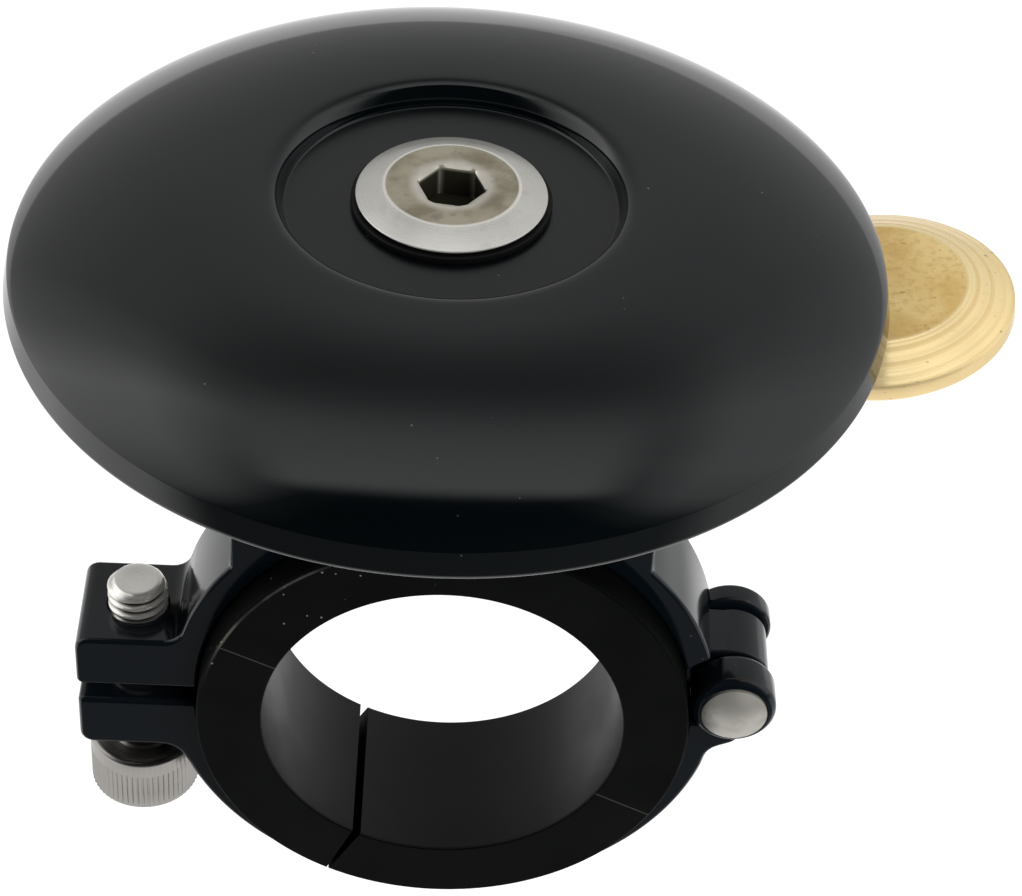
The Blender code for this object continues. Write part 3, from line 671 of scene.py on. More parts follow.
def turned_steel(name, colour, metallic=1.0, flat_radius=None, dark_below=None, groove_radius=None):
    """Turned stainless steel with fine rings.

    A flat middle, if it has one, is rougher and stained, with a painted highlight along its edge. The inside
    of a socket, below the height dark_below, is painted nearly black as painted shade, and so are grooves
    that are deeper than groove_radius below that height.
    """
    shader = Shader(name, colour, metallic, 0.3)
    point = shader.place()
    radius = shader.radius_from_axis(point)
    rings = shader.lathe_rings(radius, 0.00012, point, 0.2)
    stain = shader.noise(430.0, point, detail=5.0)
    clean = shader.mix(stain, colour, tuple(part * 0.8 for part in colour))
    roughness = shader.ramp(rings, 0.3, 0.7, 0.27, 0.34)
    if flat_radius:
        on_flat = shader.ramp(radius, flat_radius * MM, (flat_radius - 0.15) * MM)
        tinted = shader.mix(shader.ramp(stain, 0.35, 0.65), (0.5, 0.455, 0.355), (0.3, 0.264, 0.19))
        scuffs = shader.ramp(shader.noise(900.0, point, detail=4.0), 0.55, 0.7, 0.0, 0.6)
        tinted = shader.mix(scuffs, tinted, (0.25, 0.22, 0.16))
        near_socket = shader.ramp(radius, 2.75 * MM, 2.1 * MM, 0.0, 0.55)
        tinted = shader.mix(near_socket, tinted, (0.85, 0.82, 0.74))
        clean = shader.mix(shader.times(scuffs, 0.6), clean, (0.5, 0.48, 0.42))
        clean = shader.mix(on_flat, clean, tinted)
        # Painted highlight: a bright line painted along the edge of the flat.
        from_edge = shader.math("ABSOLUTE", shader.math("SUBTRACT", radius, flat_radius * MM))
        clean = shader.mix(shader.ramp(from_edge, 0.14 * MM, 0.04 * MM, 0.0, 0.8), clean, (0.97, 0.95, 0.88))
        roughness = shader.math("ADD", roughness, shader.times(on_flat, 0.12))
    # Painted shade: the inside of the socket and the deep thread grooves below dark_below are painted nearly
    # black.
    if dark_below:
        height = shader.node("ShaderNodeSeparateXYZ", Vector=point).outputs["Z"]
        deep = shader.ramp(height, dark_below * MM, (dark_below - 0.25) * MM)
        inner = groove_radius if groove_radius else SCREW_SOCKET / math.sqrt(3.0) + 0.1
        shade = (0.03, 0.026, 0.02) if groove_radius else (0.05, 0.048, 0.032)
        within = shader.ramp(radius, inner * MM, (inner - 0.25) * MM)
        clean = shader.mix(shader.times(deep, within), clean, shade)
    shader.link(clean, "Base Color")
    shader.link(roughness, "Roughness")
    shader.bump(rings, 0.05, 0.00004)
    return shader.material


def plain_steel(name, colour, roughness, metallic=1.0):
    """Rolled or bright steel with soft stains and a fine grain."""
    shader = Shader(name, colour, metallic, roughness)
    point = shader.place()
    stain = shader.noise(300.0, point, detail=5.0)
    stained = tuple(part * 0.66 for part in colour)
    shader.link(shader.mix(shader.ramp(stain, 0.4, 0.65), colour, stained), "Base Color")
    shader.link(shader.ramp(stain, 0.3, 0.7, roughness * 0.8, roughness * 1.35), "Roughness")
    shader.bump(shader.noise(1800.0, point, detail=2.0), 0.05, 0.00003)
    return shader.material


def black_nylon():
    shader = Shader("black_nylon", (0.003, 0.003, 0.003), 0.0, 0.45)
    shader.set("Specular IOR Level", 0.15)
    point = shader.place()
    shader.link(shader.ramp(shader.noise(700.0, point), 0.3, 0.7, 0.38, 0.55), "Roughness")
    shader.bump(shader.noise(1200.0, point, detail=2.0), 0.1, 0.00004)
    return shader.material


# ---------------- pieces on the bell

def crown_point(part):
    """The bell's outer profile, from the shoulder (0) to the crease above the rim (1)."""
    turn = part * math.pi / 2.0
    crease_radius = RIM_RADIUS - CREASE_INSET
    crease_z = RIM_Z + CREASE_RISE
    radius = CROWN_RADIUS + (crease_radius - CROWN_RADIUS) * math.sin(turn)
    height = crease_z + (CROWN_Z - crease_z) * max(math.cos(turn), 0.0) ** CROWN_POWER
    return radius, height


def crown_inside(part):
    step = 0.01
    before = Vector(crown_point(max(part - step, 0.0)))
    after = Vector(crown_point(min(part + step, 1.0)))
    run = (after - before).normalized()
    radius, height = crown_point(part)
    return radius + run.y * SHELL_THICKNESS, height - run.x * SHELL_THICKNESS


def make_bell(material, shaded_skirt_material):
    floor = CROWN_Z - RECESS_DEPTH
    steps = [index / 40.0 for index in range(41)]
    recess = rounded_path([
        (STACK_BORE_RADIUS, floor),
        (RECESS_RADIUS, floor, 0.12),
        (RECESS_RADIUS + 0.08, floor + 0.16),
    ])
    wall_pull = (RECESS_RADIUS + 0.25, floor + 0.9)
    crown_pull = (RECESS_RADIUS + 0.6, CROWN_Z)
    recess += smooth_curve(recess[-1], wall_pull, crown_pull, crown_point(0.0))
    outside = [crown_point(part) for part in steps[1:]]
    rim = rounded_path([
        outside[-1],
        (RIM_RADIUS, RIM_Z, 0.35),
        (RIM_RADIUS - SHELL_THICKNESS, RIM_Z, 0.35),
        crown_inside(1.0),
    ])[1:-1]
    inside = [crown_inside(part) for part in reversed(steps[::2])]
    under = floor - SHELL_THICKNESS
    underside = [(RECESS_RADIUS + SHELL_THICKNESS, under), (STACK_BORE_RADIUS, under)]
    bell = spin("bell_shell", recess + outside + rim + inside + underside, DOME_SIDES, closed=True)
    bell.location = Vector((BELL_X, 0.0, 0.0)) * MM
    stand_for(bell, "dome", material, math.radians(40.0))
    # Painted shade: the skirt below the crease takes a copy of the lacquer with a lower specular level, so
    # its reflection is darker.
    crease_z = RIM_Z + CREASE_RISE
    inner_radius = RIM_RADIUS - SHELL_THICKNESS / 2.0

    def on_skirt(centre, normal):
        return centre.z < crease_z and centre.xy.length > inner_radius

    cover(bell, shaded_skirt_material, on_skirt)


def make_bell_screw(material):
    top = SCREW_HIGH.z
    flat = SCREW_SOCKET / 2.0
    socket_floor = top - SCREW_SOCKET_DEPTH
    profile = [
        (0.0, socket_floor - 0.35),
        (flat - 0.25, socket_floor),
        (flat - 0.001, socket_floor),
        (flat - 0.001, top - 0.32),
        (flat, top - 0.16),
    ]
    profile += rounded_path([
        (flat + 0.3, top - 0.03),
        (flat + 0.42, top, 0.05),
        (SCREW_FLAT_RADIUS, top, 0.1),
        (SCREW_HEAD_RADIUS, top - SCREW_EDGE_HEIGHT, 0.1),
        (SCREW_HEAD_RADIUS - 0.2, top - SCREW_HEAD_HEIGHT, 0.05),
        (SCREW_RADIUS, top - SCREW_HEAD_HEIGHT, 0.1),
        (SCREW_RADIUS, SCREW_LOW.z, 0.4),
        (0.0, SCREW_LOW.z),
    ])
    screw = spin("bell_screw", profile, 180, hexagonal(SCREW_SOCKET))
    screw.location = Vector((BELL_X, 0.0, 0.0)) * MM
    screw.rotation_euler.z = SCREW_SOCKET_TURN
    stand_for(screw, "dome_screw", material)


def flat_ring(name, inner, outer, low, high, edge, sides):
    section = [(inner, high, edge), (outer, high, edge), (outer, low, edge), (inner, low, edge)]
    return spin(name, rounded_path(section, closed=True), sides, closed=True)


def make_washer(name, node, material, low, high):
    outer = (high.x - low.x) / 2.0
    edge = min(0.12, (high.z - low.z) / 3.0)
    washer = flat_ring(name, STACK_BORE_RADIUS, outer, low.z, high.z, edge, 128)
    washer.location = Vector(((low.x + high.x) / 2.0, 0.0, 0.0)) * MM
    stand_for(washer, node, material)


def make_post(material):
    low = POST_LOW.z
    high = POST_HIGH.z
    flange = (POST_HIGH.x - POST_LOW.x) / 2.0
    waist = flange - 1.5
    section = [
        (STACK_BORE_RADIUS, high, 0.1),
        (flange, high, 0.2),
        (flange, high - 1.5, 0.2),
        (waist, high - 2.3, 0.6),
        (waist, low, 0.2),
        (STACK_BORE_RADIUS, low, 0.1),
    ]
    post = spin("bell_post", rounded_path(section, closed=True), 128, closed=True)
    post.location = Vector((BELL_X, 0.0, 0.0)) * MM
    stand_for(post, "dome_post", material)


# ---------------- striker

def striker_frame():
    """The striker's own frame: its origin is on the bend, +X runs along the blade and +Z is up from it."""
    turn = Matrix.Rotation(STRIKER_ANGLE, 4, "Z") @ Matrix.Rotation(-STRIKER_RISE, 4, "Y")
    return Matrix.Translation(BEND * MM) @ turn


def make_striker(brass, steel, spring):
    base = striker_frame()
    knob_place = base @ Matrix.Translation((KNOB_DISTANCE * MM, 0.0, 0.0))

    end_x = BLADE_LENGTH - BLADE_END_HALF_WIDTH
    outline = [(BLADE_START, BLADE_ROOT_HALF_WIDTH), (BLADE_START, -BLADE_ROOT_HALF_WIDTH)]
    outline += arc(BLADE_END_HALF_WIDTH, -math.pi / 2.0, math.pi / 2.0, 32, (end_x, 0.0))
    hole = arc(KNOB_HOLE_RADIUS, 0.0, TAU * 31.0 / 32.0, 31, (KNOB_DISTANCE, 0.0))
    blade = plate("spring_blade", outline, BLADE_THICKNESS / 2.0, [hole], upright=False)
    bevel(blade, 0.1, 2)
    blade.matrix_world = base
    stand_for(blade, "spring_arm", spring)

    foot = BLADE_THICKNESS / 2.0 + SEAT_GAP
    top = foot + KNOB_THICKNESS
    edge_top = top - KNOB_CONE_HEIGHT
    profile = rounded_path([
        (0.0, top),
        (KNOB_FLAT_RADIUS, top, 0.12),
        (KNOB_RADIUS, edge_top, 0.18),
        (KNOB_RADIUS, edge_top - KNOB_EDGE_HEIGHT, 0.2),
        (KNOB_FOOT_RADIUS, foot, 0.15),
        (KNOB_HOLE_RADIUS, foot, 0.1),
        (KNOB_HOLE_RADIUS, foot + KNOB_HOLE_DEPTH, 0.1),
        (0.0, foot + KNOB_HOLE_DEPTH),
    ])
    knob = spin("striker_disc", profile, 256)
    knob.matrix_world = knob_place
    stand_for(knob, "striker_knob", brass)

    washer_low = -foot - KNOB_WASHER_HEIGHT
    washer = flat_ring("striker_washer", KNOB_HOLE_RADIUS, KNOB_WASHER_RADIUS, washer_low, -foot, 0.1, 96)
    washer.matrix_world = knob_place
    stand_for(washer, "knob_washer", steel)

    shank_top = foot + KNOB_HOLE_DEPTH - 0.3
    head_top = washer_low - SEAT_GAP
    head_bottom = head_top - KNOB_SCREW_HEAD_HEIGHT
    socket_flat = KNOB_SCREW_SOCKET / 2.0
    screw_profile = rounded_path([
        (0.0, shank_top),
        (KNOB_SCREW_RADIUS, shank_top, 0.2),
        (KNOB_SCREW_RADIUS, head_top, 0.05),
        (KNOB_SCREW_HEAD_RADIUS, head_top, 0.1),
        (KNOB_SCREW_HEAD_RADIUS, head_bottom + 0.3, 0.2),
        (KNOB_SCREW_HEAD_RADIUS - 0.4, head_bottom, 0.2),
        (socket_flat + 0.3, head_bottom, 0.05),
    ])
    screw_profile += [
        (socket_flat, head_bottom + 0.12),
        (socket_flat - 0.001, head_bottom + 0.9),
        (0.0, head_bottom + 1.1),
    ]
    screw = spin("striker_screw", screw_profile, 96, hexagonal(KNOB_SCREW_SOCKET))
    screw.matrix_world = knob_place
    stand_for(screw, "knob_screw", steel)


def make_spring_eye(material):
    half_angle = math.asin(BLADE_ROOT_HALF_WIDTH / EYE_RADIUS)
    outline = arc(EYE_RADIUS, half_angle, TAU - half_angle, 72)
    outline += [(EYE_TAB_END, -BLADE_ROOT_HALF_WIDTH), (EYE_TAB_END, BLADE_ROOT_HALF_WIDTH)]
    hole = arc(STACK_BORE_RADIUS, 0.0, TAU * 47.0 / 48.0, 47)
    eye = plate("spring_eye", outline, BLADE_THICKNESS / 2.0, [hole], upright=False)
    bevel(eye, 0.1, 2)
    eye.location = Vector((BELL_X, 0.0, (EYE_LOW.z + EYE_HIGH.z) / 2.0)) * MM
    eye.rotation_euler.z = STRIKER_ANGLE
    stand_for(eye, "spring_root", material)


# ---------------- clamp

def make_shim(material, bore_material):
    half = (SHIM_HIGH.y - SHIM_LOW.y) / 2.0
    section = rounded_path([
        (SHIM_BORE_RADIUS, -half, 0.18),
        (SHIM_RADIUS, -half, 0.2),
        (SHIM_RADIUS, half, 0.2),
        (SHIM_BORE_RADIUS, half, 0.18),
    ], closed=True)

    def slit_width(radius):
        outward = (radius - SHIM_BORE_RADIUS) / (SHIM_RADIUS - SHIM_BORE_RADIUS)
        return SHIM_SLIT_WIDTH * (1.0 - 0.7 * outward)

    shim = split_ring("bar_shim", section, SHIM_SLIT_ANGLE, slit_width, 240)
    stand_for(shim, "rubber_shim", material)
    bore_limit = SHIM_BORE_RADIUS + 0.05
    cover(shim, bore_material, lambda centre, normal: centre.xz.length < bore_limit)


def upper_outline():
    """The upper half seen along the bar, from the ear's lower corner over the neck to the hinge."""
    ear_end = UPPER_LOW.x
    ear_root = math.pi - math.asin(UPPER_EAR_TOP / UPPER_RING_RADIUS)
    ring_left = math.acos(NECK_LEFT / UPPER_RING_RADIUS)
    ring_right = math.acos(NECK_RIGHT / UPPER_RING_RADIUS)
    ring_end = math.asin(UPPER_EAR_BOTTOM / UPPER_RING_RADIUS)
    bore_start = math.asin(UPPER_EAR_BOTTOM / CLAMP_BORE_RADIUS)
    left_arc = arc(UPPER_RING_RADIUS, ear_root - 0.12, ring_left + 0.02, 14)
    right_arc = arc(UPPER_RING_RADIUS, ring_right - 0.02, ring_end, 28)
    bore = arc(CLAMP_BORE_RADIUS, bore_start, math.pi - bore_start, 96)
    root = (UPPER_RING_RADIUS * math.cos(ear_root), UPPER_EAR_TOP, 1.3)
    outline = [(ear_end, UPPER_EAR_BOTTOM, 0.45), (ear_end, UPPER_EAR_TOP, 0.9), root]
    outline += left_arc
    outline += [
        (NECK_LEFT, UPPER_RING_RADIUS * math.sin(ring_left), 1.2),
        (NECK_LEFT, NECK_SHOULDER_Z, 2.0),
        (BELL_X - NECK_HEAD_HALF_WIDTH, NECK_HEAD_Z, 1.2),
        (BELL_X - NECK_HEAD_HALF_WIDTH, NECK_TOP_Z, 0.3),
        (BELL_X + NECK_HEAD_HALF_WIDTH, NECK_TOP_Z, 0.3),
        (BELL_X + NECK_HEAD_HALF_WIDTH, NECK_HEAD_Z, 1.2),
        (NECK_RIGHT, NECK_SHOULDER_Z, 2.0),
        (NECK_RIGHT, UPPER_RING_RADIUS * math.sin(ring_right), 1.2),
    ]
    outline += right_arc + bore
    return rounded_path(outline, closed=True)


def lower_outline():
    """The lower half seen along the bar, with the web that reaches out to the knuckles."""
    ear_end = LOWER_LOW.x
    ring_start = math.pi + math.asin(-LOWER_EAR_BOTTOM / LOWER_RING_RADIUS)
    web_start = TAU - LOWER_WEB_ANGLE
    bore_radius = CLAMP_BORE_RADIUS + HIDDEN_STEP
    bore_start = -math.asin(-LOWER_EAR_TOP / bore_radius)
    root = (LOWER_RING_RADIUS * math.cos(ring_start) - 0.3, LOWER_EAR_BOTTOM, 3.0)
    outline = [(ear_end, LOWER_EAR_TOP, 0.45), (ear_end, LOWER_EAR_BOTTOM, 0.9), root]
    ring = arc(LOWER_RING_RADIUS, ring_start + 0.1, web_start, 84)
    outline += ring
    outline += [
        (ring[-1][0] + 0.3, HINGE.z - OUTER_KNUCKLE_RADIUS - 1.75, 1.6),
        (HINGE.x + 0.3, HINGE.z - OUTER_KNUCKLE_RADIUS - 1.0, 0.9),
        (HINGE.x + 1.9, HINGE.z - OUTER_KNUCKLE_RADIUS + 0.85),
        (HINGE.x - 0.5, LOWER_EAR_TOP),
    ]
    outline += arc(bore_radius, bore_start, -math.pi - bore_start, 96)
    return rounded_path(outline, closed=True)


def hinge_rod(name, radius, span, rounding=0.0):
    made = rod(name, radius, span[0], span[1], "Y", rounding, 96)
    made.location = Vector((HINGE.x, 0.0, HINGE.z)) * MM
    return made


def upright_rod(name, radius, x, start, end, rounding=0.0):
    made = rod(name, radius, start, end, "Z", rounding, 96)
    made.location.x = x * MM
    return made


def cut_ear_hole(clamp, bottom, top):
    cut(clamp, upright_rod("ear_hole", EAR_HOLE_RADIUS, BOLT_X, bottom - 1.0, top + 1.0))


def faces_front(centre, normal):
    return normal.y < -0.8


def make_upper_clamp(material, shaded_front_material):
    clamp = plate("clamp_upper_half", upper_outline(), CLAMP_HALF_WIDTH)
    bevel(clamp, EDGE_BEVEL)
    far = 2.0 * CLAMP_HALF_WIDTH
    join(clamp, upright_rod("boss", BOSS_RADIUS, BELL_X, NECK_TOP_Z - 1.0, UPPER_HIGH.z, 0.2))
    pocket = OUTER_KNUCKLE_RADIUS + KNUCKLE_CLEARANCE
    cut(clamp, hinge_rod("front_pocket", FRONT_POCKET_RADIUS, (-far, FRONT_KNUCKLE[1] + KNUCKLE_GAP)))
    cut(clamp, hinge_rod("back_pocket", pocket, (BACK_KNUCKLE[0] - KNUCKLE_GAP, far)))
    groove_low = (UPPER_RING_RADIUS - 1.2, FRONT_KNUCKLE[1] - 0.1, HINGE.z + 1.8)
    groove_high = (UPPER_RING_RADIUS + 1.0, BACK_KNUCKLE[0] - 0.1, HINGE.z + 3.9)
    cut(clamp, block("groove", groove_low, groove_high))
    web_front = MIDDLE_KNUCKLE[0] + HIDDEN_STEP
    web_back = MIDDLE_KNUCKLE[1] - HIDDEN_STEP
    web_top = HINGE.z + MIDDLE_KNUCKLE_RADIUS - 0.05
    cheek = block("cheek", (HINGE.x - 1.95, web_front, HINGE.z), (HINGE.x - 0.2, web_back, web_top))
    bevel(cheek, 0.25)
    web_low = (CLAMP_BORE_RADIUS + 0.2, web_front, HINGE.z - 0.2)
    web = block("web", web_low, (HINGE.x - 0.6, web_back, HINGE.z + 1.2))
    join(web, cheek)
    join(web, hinge_rod("knuckle", MIDDLE_KNUCKLE_RADIUS, MIDDLE_KNUCKLE, 0.22))
    join(clamp, web)
    cut(clamp, hinge_rod("pin_bore", PIN_BORE_RADIUS, (-far, far)))
    cut_ear_hole(clamp, UPPER_EAR_BOTTOM, UPPER_EAR_TOP)
    cut(clamp, upright_rod("screw_hole", STACK_BORE_RADIUS, BELL_X, 17.2, UPPER_HIGH.z + 1.0))
    stand_for(clamp, "upper_clamp", material)
    # Painted shade: faces that look to the front take a darker, nearly unreflecting copy of the paint.
    cover(clamp, shaded_front_material, faces_front)


def make_lower_clamp(material, shaded_front_material):
    clamp = plate("clamp_lower_half", lower_outline(), CLAMP_HALF_WIDTH)
    bevel(clamp, EDGE_BEVEL)
    far = 2.0 * CLAMP_HALF_WIDTH
    join(clamp, hinge_rod("front", OUTER_KNUCKLE_RADIUS, FRONT_KNUCKLE, FRONT_KNUCKLE_ROUND))
    join(clamp, hinge_rod("back", OUTER_KNUCKLE_RADIUS, BACK_KNUCKLE, BACK_KNUCKLE_ROUND))
    pocket = (FRONT_KNUCKLE[1] + HIDDEN_STEP, BACK_KNUCKLE[0] - HIDDEN_STEP)
    pocket_radius = MIDDLE_KNUCKLE_RADIUS + KNUCKLE_CLEARANCE
    cut(clamp, hinge_rod("pocket", pocket_radius, pocket))
    cut(clamp, hinge_rod("pin_bore", PIN_BORE_RADIUS, (-far, far)))
    cut(clamp, hinge_rod("head_bore", PIN_HEAD_BORE_RADIUS, (-far, PIN_HEAD_SEAT_Y)))
    cut_ear_hole(clamp, LOWER_EAR_BOTTOM, LOWER_EAR_TOP)
    stand_for(clamp, "lower_clamp", material)
    # Painted shade: faces that look to the front take a darker, nearly unreflecting copy of the paint.
    cover(clamp, shaded_front_material, faces_front)


def make_hinge_pin(material):
    """The pin is turned with its head up, then laid along the bar with the head in front."""
    seat = -PIN_HEAD_SEAT_Y + SEAT_GAP
    front = -PIN_LOW.y
    edge = seat + 0.75
    rise = front - edge
    dome_radius = (PIN_HEAD_RADIUS ** 2 + rise ** 2) / (2.0 * rise)
    spread = math.asin(PIN_HEAD_RADIUS / dome_radius)
    centre = front - dome_radius
    profile = []
    for index in range(17):
        angle = spread * index / 16.0
        profile.append((dome_radius * math.sin(angle), centre + dome_radius * math.cos(angle)))
    back = -PIN_HIGH.y
    tail = back + 0.6
    profile += rounded_path([
        (PIN_HEAD_RADIUS, edge - 0.05),
        (PIN_HEAD_RADIUS, seat, 0.1),
        (PIN_RADIUS, seat, 0.1),
        (PIN_RADIUS, tail, 0.05),
        (1.9, tail, 0.15),
        (1.4, back, 0.3),
        (0.0, back),
    ])
    pin = spin("hinge_rivet", profile, 128)
    pin.location = Vector((HINGE.x, 0.0, HINGE.z)) * MM
    pin.rotation_euler.x = math.pi / 2.0
    stand_for(pin, "hinge_pin", material)


def thread_warp(tip):
    """The thread's crest and root, cut back by the chamfer at the bolt's tip."""
    root = BOLT_RADIUS - THREAD_DEPTH

    def warp(radius, height, angle):
        turn = (height / BOLT_PITCH - angle / TAU) % 1.0
        crest = min(max(1.7 * abs(2.0 * turn - 1.0) - 0.35, 0.0), 1.0)
        threaded = root + (BOLT_RADIUS - root) * crest
        return min(radius, threaded, BOLT_RADIUS - 0.45 + (tip - height))

    return warp


def make_bolt(material, shaded_head_material):
    tip = BOLT_HIGH.z
    foot = BOLT_LOW.z
    seat = foot + BOLT_HEAD_HEIGHT
    collar_top = LOWER_EAR_BOTTOM - 0.2
    rows = 150
    profile = [(0.0, tip - 0.06), (0.8, tip - 0.05), (1.2, tip), (1.42, tip)]
    for index in range(1, rows + 1):
        profile.append((BOLT_RADIUS, tip - (tip - collar_top) * index / rows))
    profile += [(0.0, collar_top)]
    shank = spin("clamp_bolt", profile, 96, thread_warp(tip))
    shank.location.x = BOLT_X * MM
    stand_for(shank, "clamp_screw", material, math.radians(60.0))

    flat = BOLT_SOCKET / 2.0
    knurl_top = seat - KNURL_TOP_INSET
    knurl_foot = foot + KNURL_FOOT_INSET
    head_profile = [(0.0, collar_top), (1.9, collar_top), (1.95, seat + 0.15), (2.1, seat)]
    head_profile += rounded_path([
        (2.2, seat),
        (BOLT_HEAD_RADIUS - 0.05, seat, 0.3),
        (BOLT_HEAD_RADIUS - 0.02, knurl_top + 0.15),
    ])[1:]
    head_profile += [(BOLT_HEAD_RADIUS, knurl_top), (BOLT_HEAD_RADIUS, (knurl_top + knurl_foot) / 2.0)]
    head_profile += rounded_path([
        (BOLT_HEAD_RADIUS, knurl_foot),
        (BOLT_HEAD_RADIUS - 0.12, foot + 0.2),
        (BOLT_HEAD_RADIUS - 0.45, foot, 0.3),
        (flat + 0.4, foot, 0.05),
    ])
    socket_end = foot + BOLT_SOCKET_DEPTH
    head_profile += [(flat, foot + 0.2), (flat - 0.001, socket_end), (0.0, socket_end + 0.4)]
    socket = hexagonal(BOLT_SOCKET)

    def warp(radius, height, angle):
        knurled = radius > BOLT_HEAD_RADIUS - 0.01 and height <= knurl_top + 0.01
        groove = 0.5 - 0.5 * math.cos(KNURL_COUNT * angle)
        return radius - KNURL_DEPTH * groove if knurled else socket(radius, height, angle)

    head = spin("clamp_bolt_head", head_profile, KNURL_COUNT * 6, warp)
    head.location.x = BOLT_X * MM
    smooth(head, math.radians(40.0))
    # Painted shade: the head takes a much darker copy of the stainless than the shank.
    head.data.materials.append(shaded_head_material)
    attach(head, "screw")


# ---------------- stage, light and camera

def grey(level):
    return level, level, level


def make_floor():
    """A pale floor that glows as painted light. Out of the camera's sight its glow is brighter left, dimmer
    right and dark in front, where its colour is dark as well.
    """
    work = bmesh.new()
    bmesh.ops.create_circle(work, cap_ends=True, segments=96, radius=FLOOR_RADIUS * MM)
    floor = new_piece("floor", work)
    floor.location.z = FLOOR_Z * MM
    shader = Shader("pale_floor", grey(0.55), 0.0, 0.9)
    shader.set("Specular IOR Level", 0.0)
    shader.set("Emission Strength", 1.0)
    x, y = shader.node("ShaderNodeSeparateXYZ", Vector=shader.place()).outputs[:2]
    near = shader.ramp(y, -0.17, -0.08)
    left = shader.times(shader.ramp(x, -0.08, -0.15), shader.ramp(y, 0.1, 0.04))
    right = shader.times(shader.ramp(x, 0.08, 0.15), shader.ramp(y, 0.25, 0.1, 0.35, 1.0))
    shader.link(shader.mix(near, grey(0.05), grey(0.35)), "Base Color")
    glow = shader.mix(right, shader.mix(left, grey(0.84), grey(1.4)), grey(0.35))
    shader.link(shader.mix(near, grey(0.11), glow), "Emission Color")
    floor.data.materials.append(shader.material)


def make_light():
    """A light tent: bright sides, a softer back, a soft box overhead, and darkness behind the camera."""
    world = bpy.data.worlds.new("light_tent")
    bpy.context.scene.world = world
    world.use_nodes = True
    sky = NodeTree(world.node_tree)
    way = sky.node("ShaderNodeTexCoord").outputs["Generated"]
    x, y, z = sky.node("ShaderNodeSeparateXYZ", Vector=way).outputs
    round_way = sky.math("ADD", sky.math("DIVIDE", sky.math("ARCTAN2", x, y), TAU), 0.5)
    walls = sky.node("ShaderNodeValToRGB")
    sky.feed(walls.inputs[0], round_way)
    # Degrees from straight behind the bell, positive to the hinge's side, with half the light's strength
    stops = [
        (-180, 0.01), (-140, 0.01), (-126, 0.05), (-112, 0.40), (-90, 0.72), (-70, 0.85), (-57, 0.42),
        (-46, 0.26), (-25, 0.235), (0, 0.25), (20, 0.235), (40, 0.245), (52, 0.31), (68, 0.48), (92, 0.52),
        (108, 0.40), (122, 0.08), (132, 0.01), (145, 0.01), (180, 0.01),
    ]
    elements = walls.color_ramp.elements
    while len(elements) < len(stops):
        elements.new(0.5)
    for element, (degrees, strength) in zip(elements, stops):
        element.position = (degrees + 180.0) / 360.0
        element.color = (*grey(strength), 1.0)
    wall_light = sky.times(sky.times(walls.outputs[0], 2.0), sky.ramp(z, 0.72, 0.92, 1.0, 0.51))
    height = sky.math("MAXIMUM", z, 0.05)
    depth = sky.math("DIVIDE", y, height)
    sideways = sky.math("DIVIDE", sky.math("ABSOLUTE", x), height)
    front_edge = sky.ramp(depth, -0.27, -0.16)
    back_edge = sky.ramp(depth, 0.08, 0.45, 1.0, 0.0)
    side_edge = sky.ramp(sideways, 0.36, 0.6, 1.0, 0.0)
    inside = sky.times(sky.times(front_edge, back_edge), side_edge)
    top_light = sky.ramp(depth, -0.25, 0.45, 1.12, 0.55)
    kept = sky.times(wall_light, sky.math("SUBTRACT", 1.0, inside))
    total = sky.math("ADD", kept, sky.times(top_light, inside))
    # The camera itself sees plain white past the floor
    seen = sky.node("ShaderNodeLightPath").outputs["Is Camera Ray"]
    shown = sky.math("ADD", sky.times(total, sky.math("SUBTRACT", 1.0, seen)), seen)
    sky.feed(sky.tree.nodes["Background"].inputs["Color"], shown)


def make_fill():
    """A soft fill light without a reflection of its own, so it shows mostly on the brass."""
    data = bpy.data.lights.new("fill", "AREA")
    data.energy = FILL_POWER
    data.shape = "DISK"
    data.size = FILL_DIAMETER * MM
    fill = bpy.data.objects.new("fill", data)
    bpy.context.scene.collection.objects.link(fill)
    fill.location = (FILL_AIM + FILL_WAY * FILL_DISTANCE) * MM
    fill.rotation_euler = FILL_WAY.to_track_quat("Z", "Y").to_euler()
    fill.visible_glossy = False


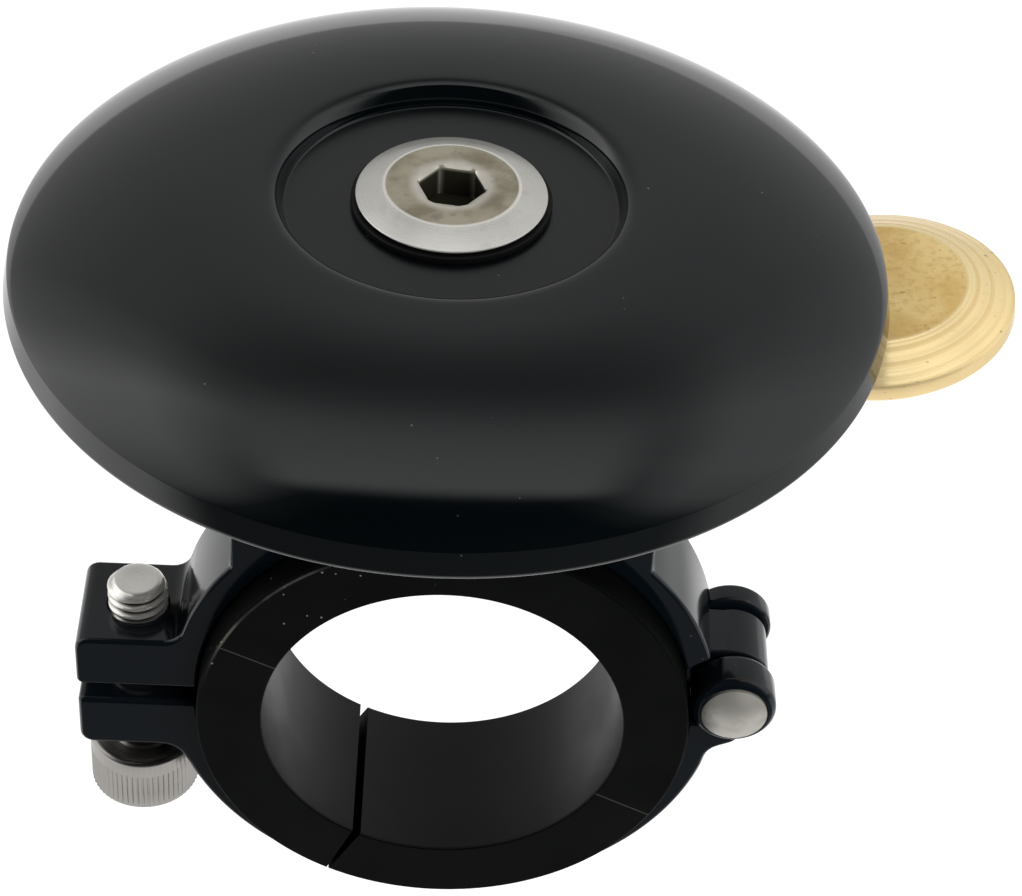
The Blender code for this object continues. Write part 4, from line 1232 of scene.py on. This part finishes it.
def make_camera():
    data = bpy.data.cameras.new("camera")
    data.lens = CAMERA_LENS
    data.sensor_width = 36.0
    data.clip_start = 0.01
    data.clip_end = 50.0
    camera = bpy.data.objects.new("camera", data)
    bpy.context.scene.collection.objects.link(camera)
    turn = Matrix.Rotation(-CAMERA_AZIMUTH, 4, "Z")
    turn = turn @ Matrix.Rotation(math.pi / 2.0 - CAMERA_ELEVATION, 4, "X")
    turn = turn @ Matrix.Rotation(CAMERA_ROLL, 4, "Z")
    back = turn.to_3x3() @ Vector((0.0, 0.0, 1.0))
    camera.matrix_world = Matrix.Translation((AIM + back * CAMERA_DISTANCE) * MM) @ turn
    bpy.context.scene.camera = camera
    bpy.context.scene.view_settings.view_transform = "Standard"


def main():
    lacquer = bell_lacquer("bell_lacquer", 0.5)
    # Painted shade: a copy of the lacquer with a lower specular level, which darkens the skirt's reflection.
    shaded_skirt_lacquer = bell_lacquer("bell_skirt_shaded_lacquer", 0.35)
    paint = clamp_paint("clamp_paint", (0.003, 0.0045, 0.0062), 0.42)
    # Painted shade: a darker copy of the clamp paint with almost no specular, for the faces that look to the
    # front.
    shaded_front_paint = clamp_paint("clamp_painted_shade_front", (0.0019, 0.0036, 0.0054), 0.05)
    brass = turned_brass()
    socket_top = SCREW_HIGH.z - 0.15
    head_steel = turned_steel("turned_stainless", (0.77, 0.76, 0.71), 0.75, SCREW_FLAT_RADIUS, socket_top)
    bolt_steel = turned_steel(
        "stainless_bolt",
        (0.95, 0.93, 0.87),
        0.85,
        dark_below=BOLT_HIGH.z - 0.3,
        groove_radius=BOLT_RADIUS - 0.12,
    )
    # Painted shade: a darker copy of the bolt's stainless for its head.
    shaded_bolt_head_steel = turned_steel("stainless_bolt_head_painted_shade", (0.335, 0.32, 0.302))
    small_steel = turned_steel("stainless_small", (0.62, 0.62, 0.60))
    pin_steel = plain_steel("bright_pin", (0.39, 0.375, 0.34), 0.5, 0.6)
    spring_steel = plain_steel("spring_steel", (0.58, 0.58, 0.57), 0.25)
    alloy = plain_steel("post_alloy", (0.5, 0.5, 0.51), 0.35)
    nylon = black_nylon()
    make_bell(lacquer, shaded_skirt_lacquer)
    make_bell_screw(head_steel)
    make_washer("bell_top_washer", "dome_top_washer", nylon, TOP_WASHER_LOW, TOP_WASHER_HIGH)
    make_washer("bell_seat_washer", "dome_seat_washer", nylon, SEAT_WASHER_LOW, SEAT_WASHER_HIGH)
    make_washer("spring_washer", "spring_clamp_washer", small_steel, SPRING_WASHER_LOW, SPRING_WASHER_HIGH)
    make_post(alloy)
    make_spring_eye(spring_steel)
    make_striker(brass, small_steel, spring_steel)
    make_shim(black_rubber(), rubber_bore())
    make_upper_clamp(paint, shaded_front_paint)
    make_lower_clamp(paint, shaded_front_paint)
    make_hinge_pin(pin_steel)
    make_bolt(bolt_steel, shaded_bolt_head_steel)
    make_floor()
    make_light()
    make_fill()
    make_camera()


main()
